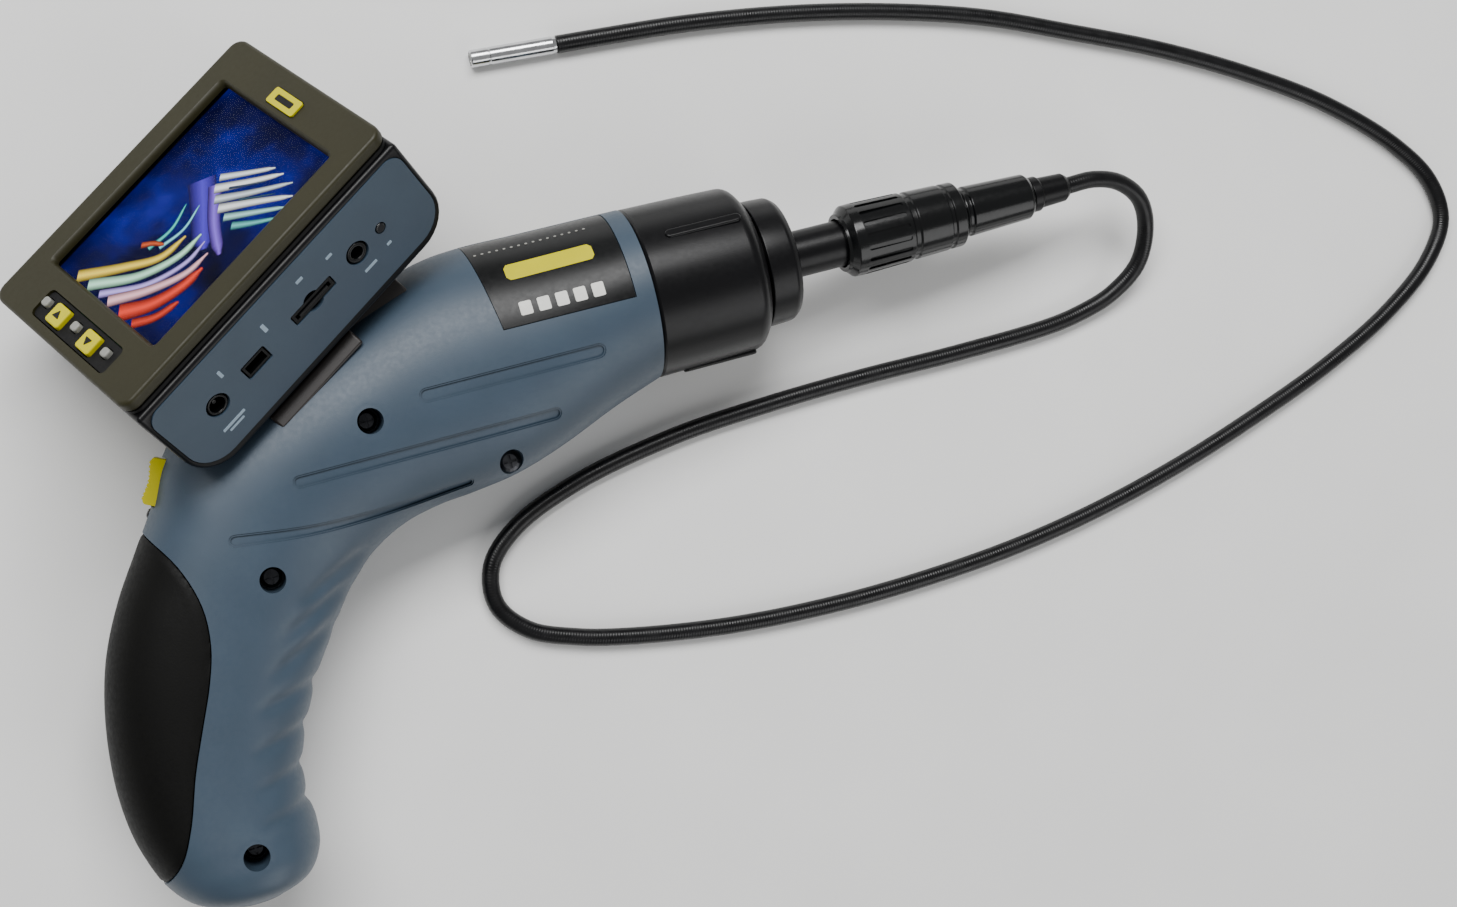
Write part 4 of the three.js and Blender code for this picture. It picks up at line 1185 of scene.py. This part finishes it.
def face_tag():
    """A yellow plate with a plain black middle."""
    tag = plate("face_tag", *TAG, 12.4, 5.2, 0.8, 40.8, 41.5)
    combine(tag, plate("tag_window", *TAG, 7.6, 2.0, 0.5, 41.3, 43))
    settle(bevelled(tag, 0.12, 2, 50), YELLOW, "monitor", "brand_tag")
    middle = plate("tag_plate", *TAG, 7.5, 1.9, 0.4, 41.25, 41.4)
    settle(middle, LABEL, "monitor")


def key_arrows():
    for node, tip in (("up_key", 1), ("down_key", -1)):
        x, y = KEYS[node][:2]
        base = y - tip * 0.9
        corners = [(x - 1.5, base, 0.15), (x + 1.5, base, 0.15), (x, y + tip * 1.5, 0.15)]
        arrow = prism(node + "_arrow", filleted(corners, 2), 41.75, 41.9, MONITOR)
        settle(arrow, LABEL, node.replace("_key", "_button"))


def charge_lamp():
    lamp = across_prism("charge_lens", circle(LAMP_Y, PORT_HEIGHT, 1.5, 24), 31, 36.1)
    settle(bevelled(lamp, 0.3, 3, 50), LENS, "monitor", "charge_led")


def ribbon(name, points, start, end, height, material):
    """A flat tapering stroke of the screen picture, on the panel's face."""
    line = spline(points, 1.2)
    vertices = []
    for i, (point, normal) in enumerate(zip(line, left_normals(line))):
        share = i / (len(line) - 1)
        half = (start + (end - start) * share) / 2 * (1 - 0.6 * smoothstep(0.85, 1, share))
        vertices += [(*(point + normal * half), height), (*(point - normal * half), height)]
    faces = [(2 * i, 2 * i + 1, 2 * i + 3, 2 * i + 2) for i in range(len(line) - 1)]
    stroke = new_mesh(name, vertices, faces, MONITOR)
    layer = stroke.data.uv_layers.new(name="across")
    for loop in stroke.data.loops:
        layer.data[loop.index].uv = (loop.vertex_index % 2, loop.vertex_index // 2)
    settle(stroke, material, "monitor", angle=60)


# Strokes from the back to the front: points, width at the start and at the end, colour.
STROKES = {
    "glow_1": ([(-8.4, 11), (1, 4), (11, -4)], 9.0, 7.0, 0x4A38B8),
    "glow_2": ([(-3, 12), (7, 3.5), (17, -2.5)], 4.5, 3.5, 0x7C5BD6),
    "wire_yellow": ([(-18.5, -31), (-7, -21), (1, -12.5), (2.4, -4)], 4.2, 2.4, 0xF2D24A),
    "wire_mint": ([(-12.8, -31), (0, -20), (6, -9), (6.4, -1)], 4.0, 2.2, 0xB6F0CF),
    "wire_lilac": ([(-7, -31), (4.5, -20.5), (9.8, -9), (9.4, -2)], 2.8, 1.6, 0xB9A4F5),
    "wire_pink": ([(-2.5, -31), (6.5, -21.5), (12.6, -11.5), (13.4, -4)], 4.0, 2.0, 0xF2B9C4),
    "wire_red": ([(4, -31.5), (11, -24), (15, -15), (15.8, -8)], 6.0, 3.0, 0xE2402E),
    "wire_orange": ([(10.5, -31.5), (15.5, -26), (18, -19)], 3.4, 2.4, 0xC93A28),
    "wire_teal": ([(-5, -13), (-3.6, -5), (-6.2, 3)], 1.8, 0.8, 0x4FC7C0),
    "wire_aqua": ([(-2, -11), (0, -3), (-2, 5)], 1.6, 0.7, 0x7FD8E8),
    "wire_rust": ([(-8, -13.5), (-5, -11), (-1.5, -9.5)], 2.2, 1.4, 0xC0522E),
    "edge_1": ([(-3.6, 14.4), (4, 20.5), (10, 25.5)], 2.6, 1.4, 0xE8EEF2),
    "edge_2": ([(-2, 11), (6, 18), (14, 25.5)], 3.4, 1.6, 0xF4F6F8),
    "edge_3": ([(1, 8.6), (9, 15.5), (19, 25)], 3.2, 1.4, 0xC9D4DC),
    "edge_4": ([(4.5, 7.2), (12, 13.6), (22.5, 22)], 3.4, 1.6, 0xEDF1F2),
    "edge_5": ([(8.5, 6.2), (15, 11.5), (23.5, 18.5)], 2.8, 1.4, 0x9FD6D2),
    "edge_6": ([(13, 5.6), (18.6, 10), (24, 14.8)], 2.8, 1.2, 0x5FB7B4),
    "shade_1": ([(2, 13.5), (7, 17.5), (11, 21)], 0.9, 0.5, 0x39465A),
    "shade_2": ([(8, 12.5), (13, 16.5), (17, 19.8)], 0.9, 0.5, 0x2F4A5E),
}


def screen_picture():
    """A made-up picture: a bundle of coloured wires that runs into a pale connector."""
    back = block("picture_back", (-26.5, -32.5, 37.02), (26.5, 36.5, 37.08), MONITOR)
    settle(back, picture_back(), "monitor")
    for i, (name, (points, start, end, colour)) in enumerate(STROKES.items()):
        height = PICTURE_FRONT + STROKE_STEP * i
        ribbon("picture_" + name, points, start, end, height, lit("lit_" + name, colour))


# --- making the scene

add_camera()
probe_cable()
add_studio()
for make in (shell_half, label_film, label_marks):
    for side in SIDES:
        make(side)
grip()
thumb_rocker()
status_lamp()
nose()
connector()
dock()
housing()
panels()
jacks()
bezel()
keys()
face_tag()
key_arrows()
charge_lamp()
screen_picture()
finish_cad_nodes()
